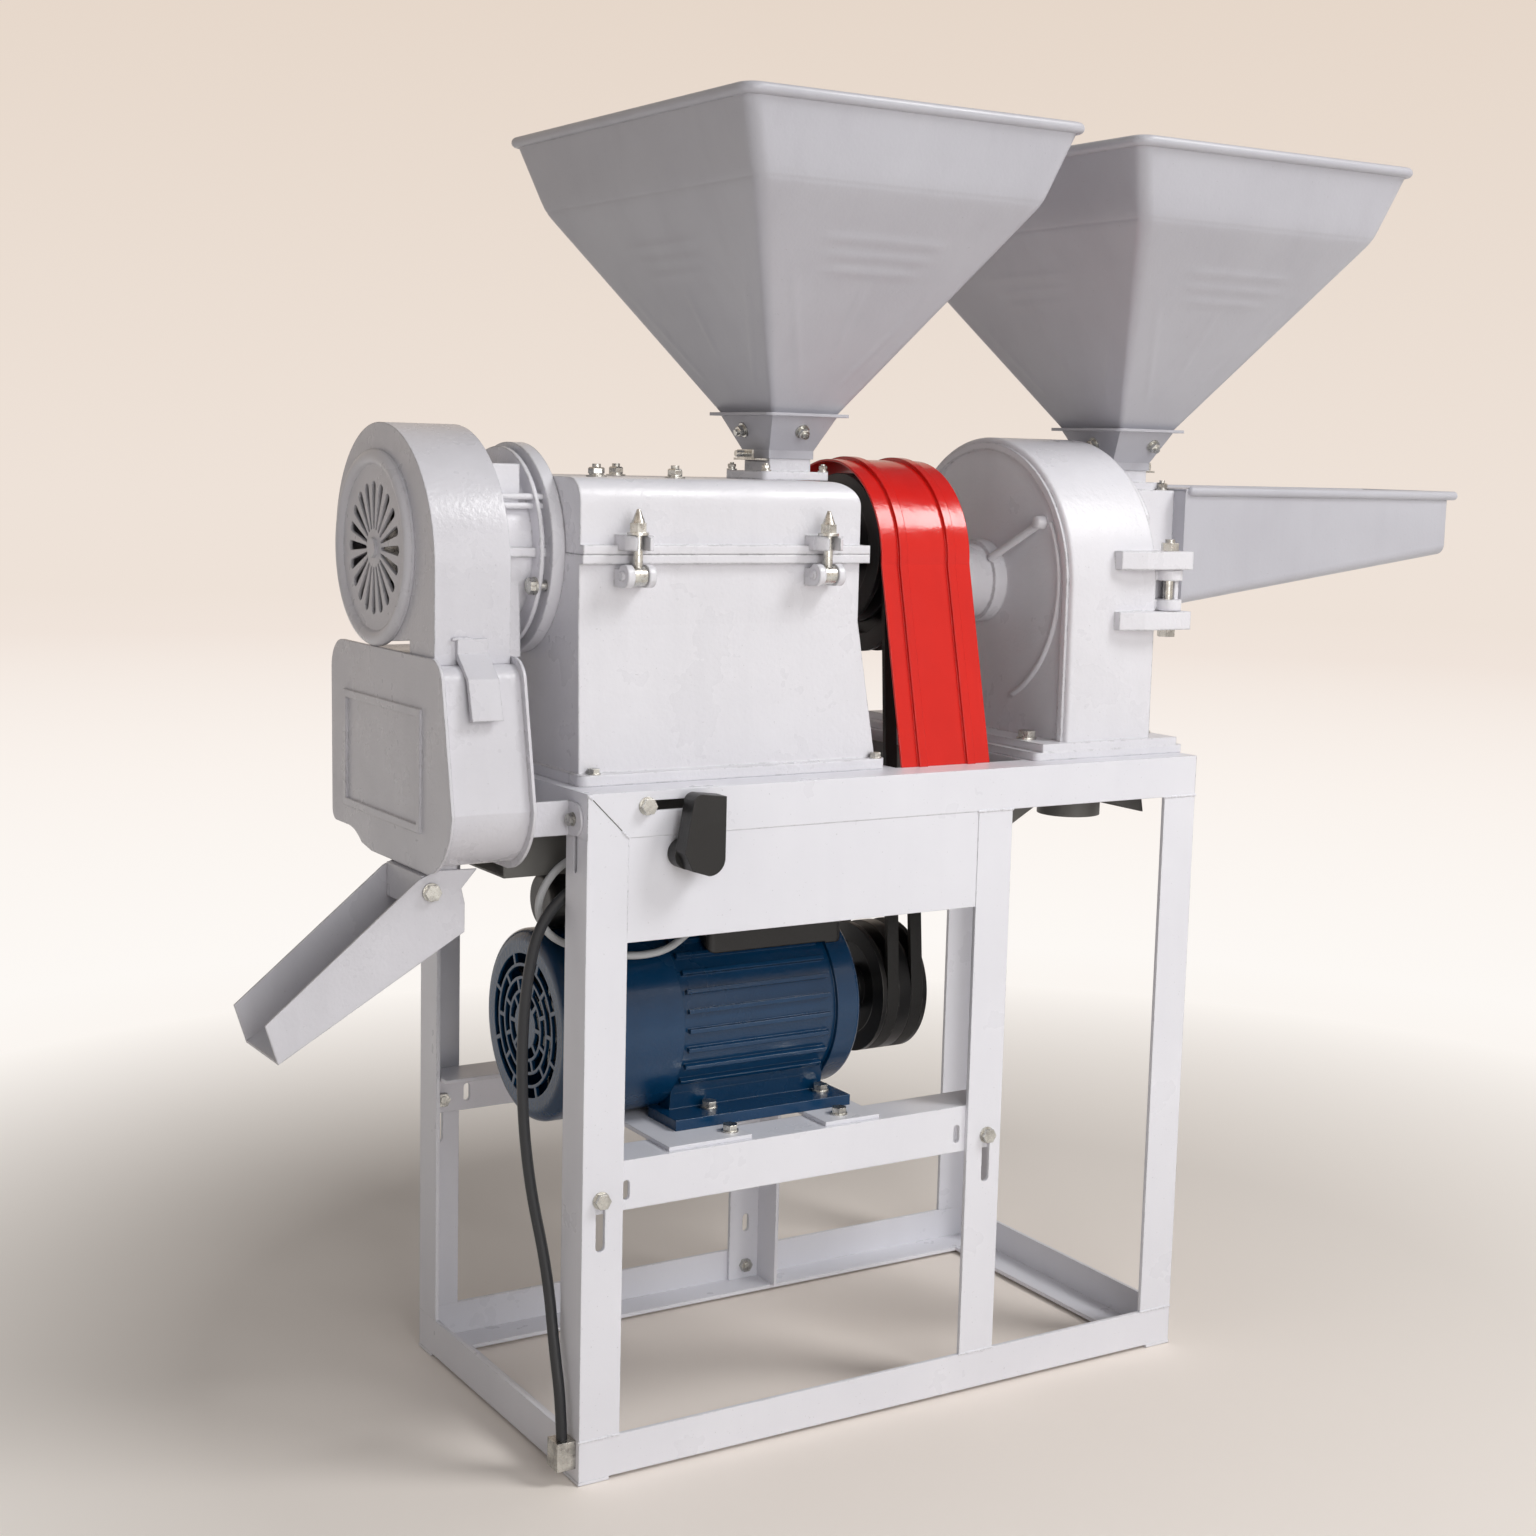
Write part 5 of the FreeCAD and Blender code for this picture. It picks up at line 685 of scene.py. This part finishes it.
bolts("cover_bolts", "huller_cover",
      [((x, y, 884.0), UP) for x in (65.0, 145.0) for y in (120.0, 236.0)], seed=7)
bolts("inlet_bolt", "grinder_door", [((745.0, 140.0, 881.0), UP)], across=10.0, seed=8)

# ---------------------------------------------------------------- welds
RAIL_FOOT, RING_TOP, RAIL_WIDTH = 578.0, 40.0, 40.0
POST_LEFTS = (0.0, 414.0, 645.0)
welds("stand_welds", "frame",
      [[(x, 0.4, z), (x + RAIL_WIDTH, 0.4, z)] for x in POST_LEFTS[1:]
       for z in (RAIL_FOOT, RING_TOP)]
      + [[(0.0, 0.4, RING_TOP), (RAIL_WIDTH, 0.4, RING_TOP)],
         [(34.0, 0.4, 584.0), (40.0, 0.4, 578.0)], [(0.6, 0.4, 617.0), (4.0, 0.4, 614.0)]],
      width=3.0)
welds("panel_welds", "frame",
      [[(40.0, 0.6, 574.0 - 14 * k), (40.0, 0.6, 568.0 - 14 * k)] for k in range(6)],
      width=1.8, seed=9)
welds("strap_weld", "frame", [[(-102.0, 50.0, 748.0), (-88.0, 50.0, 748.0)]], width=3.0,
      slot="fan_paint", seed=10)


def tubes(name, body, slot, paths, radius, sides=12):
    """Round bars through stand points as one piece; a radius may be a list along its path."""
    shape = bmesh.new()
    for path in paths:
        tube_along(shape, path, radius, sides)
    return keep_mesh(name, shape, body, slot, 50)


tubes("mitre_seam", "frame", "dark_sheet", [[(4.0, 0.0, 614.0), (34.0, 0.0, 584.0)]], 0.45, 6)
tubes("grease_rib", "frame", "casting_paint",
      [[(528.0, 148.0, 809.0), (535.0, 115.0, 829.0), (541.0, 83.0, 848.0)]], 4.0)
tubes("grease_knob", "frame", "casting_paint",
      [[(543.0, 83.0, 848.0), (534.0, 83.0, 848.0), (532.5, 83.0, 848.0)]], [7.0, 6.5, 5.0], 20)
GRINDER_FACE, SHAFT_Y, SHAFT_Z, ARC_RADIUS = 543.0, 180.0, 785.0, 126.0
arc = [(GRINDER_FACE, SHAFT_Y + ARC_RADIUS * math.cos(math.radians(turn)),
        SHAFT_Z + ARC_RADIUS * math.sin(math.radians(turn))) for turn in range(150, 246, 3)]
tubes("raised_arc", "frame", "casting_paint", [arc], 3.0, 10)
tubes("tie_bars", "frame", "casting_paint",
      [[(-50.0, 108.0, z), (14.0, 108.0, z)] for z in (866.0, 858.0)], 2.8)


# ---------------------------------------------------------------- floor, lights and camera
FLOOR_DROP, FLOOR_RADIUS = 0.0005, 30.0


def floor():
    """A pale floor that fades into the background away from the object: from 0.7 to 1.6 m out it
    turns into painted glow for camera and glossy rays, with no lamp light or shadow, and its
    colour holds a painted band of light, brightest about 2 to 4 m out.
    """
    data = bpy.data.meshes.new("floor")
    shape = bmesh.new()
    bmesh.ops.create_circle(shape, cap_ends=True, segments=96, radius=FLOOR_RADIUS)
    shape.to_mesh(data)
    shape.free()
    piece = bpy.data.objects.new("floor", data)
    bpy.context.scene.collection.objects.link(piece)
    piece.location.z = -FLOOR_DROP
    material = bpy.data.materials.new("floor")
    material.use_nodes = True
    tree = material.node_tree
    link = tree.links.new
    place = tree.nodes.new("ShaderNodeTexCoord").outputs["Object"]
    length = tree.nodes.new("ShaderNodeVectorMath")
    length.operation = "LENGTH"
    link(place, length.inputs[0])
    ramp = tree.nodes.new("ShaderNodeValToRGB")
    link(spread(tree, length.outputs["Value"], 0.0, 12.0), ramp.inputs["Fac"])
    # Colour by distance, 0 to 12 m from the centre: a painted band of light brightens the floor
    # from about 1 m out, is brightest at 2 to 4 m and dims beyond.
    tones_and_painted_glow = [(0.0, (240, 230, 221)), (0.08, (248, 241, 234)), (0.16, (253, 249, 245)),
             (0.36, (250, 243, 237)), (0.75, (240, 228, 219)), (1.0, (238, 226, 216))]
    while len(ramp.color_ramp.elements) < len(tones_and_painted_glow):
        ramp.color_ramp.elements.new(0.5)
    for element, (where, colour) in zip(ramp.color_ramp.elements, tones_and_painted_glow):
        element.position = where
        element.color = srgb(*colour)
    shader = tree.nodes["Principled BSDF"]
    shader.inputs["Roughness"].default_value = 0.75
    link(ramp.outputs["Color"], shader.inputs["Base Color"])
    glow = tree.nodes.new("ShaderNodeEmission")
    link(ramp.outputs["Color"], glow.inputs["Color"])
    seen = tree.nodes.new("ShaderNodeLightPath")
    # Painted glow: from 0.7 to 1.6 m out the floor shows its colour as emission to camera and
    # glossy rays, in place of lamp light and shadow.
    painted_glow_share = spread(tree, length.outputs["Value"], 0.7, 1.6)
    direct = combine(tree, "MAXIMUM", seen.outputs["Is Camera Ray"],
                     seen.outputs["Is Glossy Ray"])
    blend = tree.nodes.new("ShaderNodeMixShader")
    link(combine(tree, "MULTIPLY", painted_glow_share, direct), blend.inputs["Fac"])
    link(shader.outputs["BSDF"], blend.inputs[1])
    link(glow.outputs["Emission"], blend.inputs[2])
    link(blend.outputs["Shader"], tree.nodes["Material Output"].inputs["Surface"])
    data.materials.append(material)


def backdrop():
    """World light, with a warm pale background where it is seen or mirrored."""
    world = bpy.data.worlds.new("studio")
    bpy.context.scene.world = world
    world.use_nodes = True
    tree = world.node_tree
    link = tree.links.new
    light = tree.nodes["Background"]
    light.inputs["Color"].default_value = (1.0, 0.985, 0.97, 1.0)
    light.inputs["Strength"].default_value = 0.22
    shown = tree.nodes.new("ShaderNodeBackground")
    height = tree.nodes.new("ShaderNodeSeparateXYZ")
    link(tree.nodes.new("ShaderNodeTexCoord").outputs["Generated"], height.inputs[0])
    ramp = tree.nodes.new("ShaderNodeValToRGB")
    link(spread(tree, height.outputs["Z"], -0.02, 0.4), ramp.inputs["Fac"])
    ramp.color_ramp.elements[0].color = srgb(238, 226, 216)
    ramp.color_ramp.elements[1].color = srgb(222, 204, 187)
    link(ramp.outputs["Color"], shown.inputs["Color"])
    seen = tree.nodes.new("ShaderNodeLightPath")
    blend = tree.nodes.new("ShaderNodeMixShader")
    link(combine(tree, "MAXIMUM", seen.outputs["Is Camera Ray"],
                 seen.outputs["Is Glossy Ray"]), blend.inputs["Fac"])
    link(light.outputs["Background"], blend.inputs[1])
    link(shown.outputs["Background"], blend.inputs[2])
    link(blend.outputs["Shader"], tree.nodes["World Output"].inputs["Surface"])


def lamp(name, place, target, size, power):
    """A round area lamp that faces its target; size in metres, power in watts."""
    data = bpy.data.lights.new(name, "AREA")
    data.shape = "DISK"
    data.size = size
    data.energy = power
    piece = bpy.data.objects.new(name, data)
    bpy.context.scene.collection.objects.link(piece)
    piece.location = place
    piece.rotation_mode = "QUATERNION"
    piece.rotation_quaternion = (Vector(target) - Vector(place)).to_track_quat("-Z", "Y")


def camera(place, target, roll_degrees, lens, shift_x, shift_y):
    """The render camera: where it stands, what it faces, its roll, lens and shift."""
    data = bpy.data.cameras.new("camera")
    data.lens = lens
    data.sensor_width = 36.0
    data.shift_x = shift_x
    data.shift_y = shift_y
    piece = bpy.data.objects.new("camera", data)
    bpy.context.scene.collection.objects.link(piece)
    piece.location = place
    piece.rotation_mode = "QUATERNION"
    look = (Vector(target) - Vector(place)).to_track_quat("-Z", "Y")
    piece.rotation_quaternion = look @ Matrix.Rotation(math.radians(roll_degrees), 3,
                                                       "Z").to_quaternion()
    bpy.context.scene.camera = piece


floor()
backdrop()
lamp("key", place=(1.6, -1.9, 3.1), target=(0.0, 0.0, 0.6), size=1.4, power=64)
lamp("front", place=(-0.4, -3.2, 1.5), target=(0.0, 0.0, 0.6), size=2.2, power=42)
lamp("left", place=(-3.0, -0.6, 1.8), target=(0.0, 0.0, 0.7), size=2.0, power=4)
camera(place=(-1.3028, -1.8583, 0.9056), target=(-0.1442, -0.0108, 0.6152),
       roll_degrees=1.472, lens=52.49, shift_x=-0.0135, shift_y=-0.0081)
bpy.context.scene.view_settings.view_transform = "Standard"
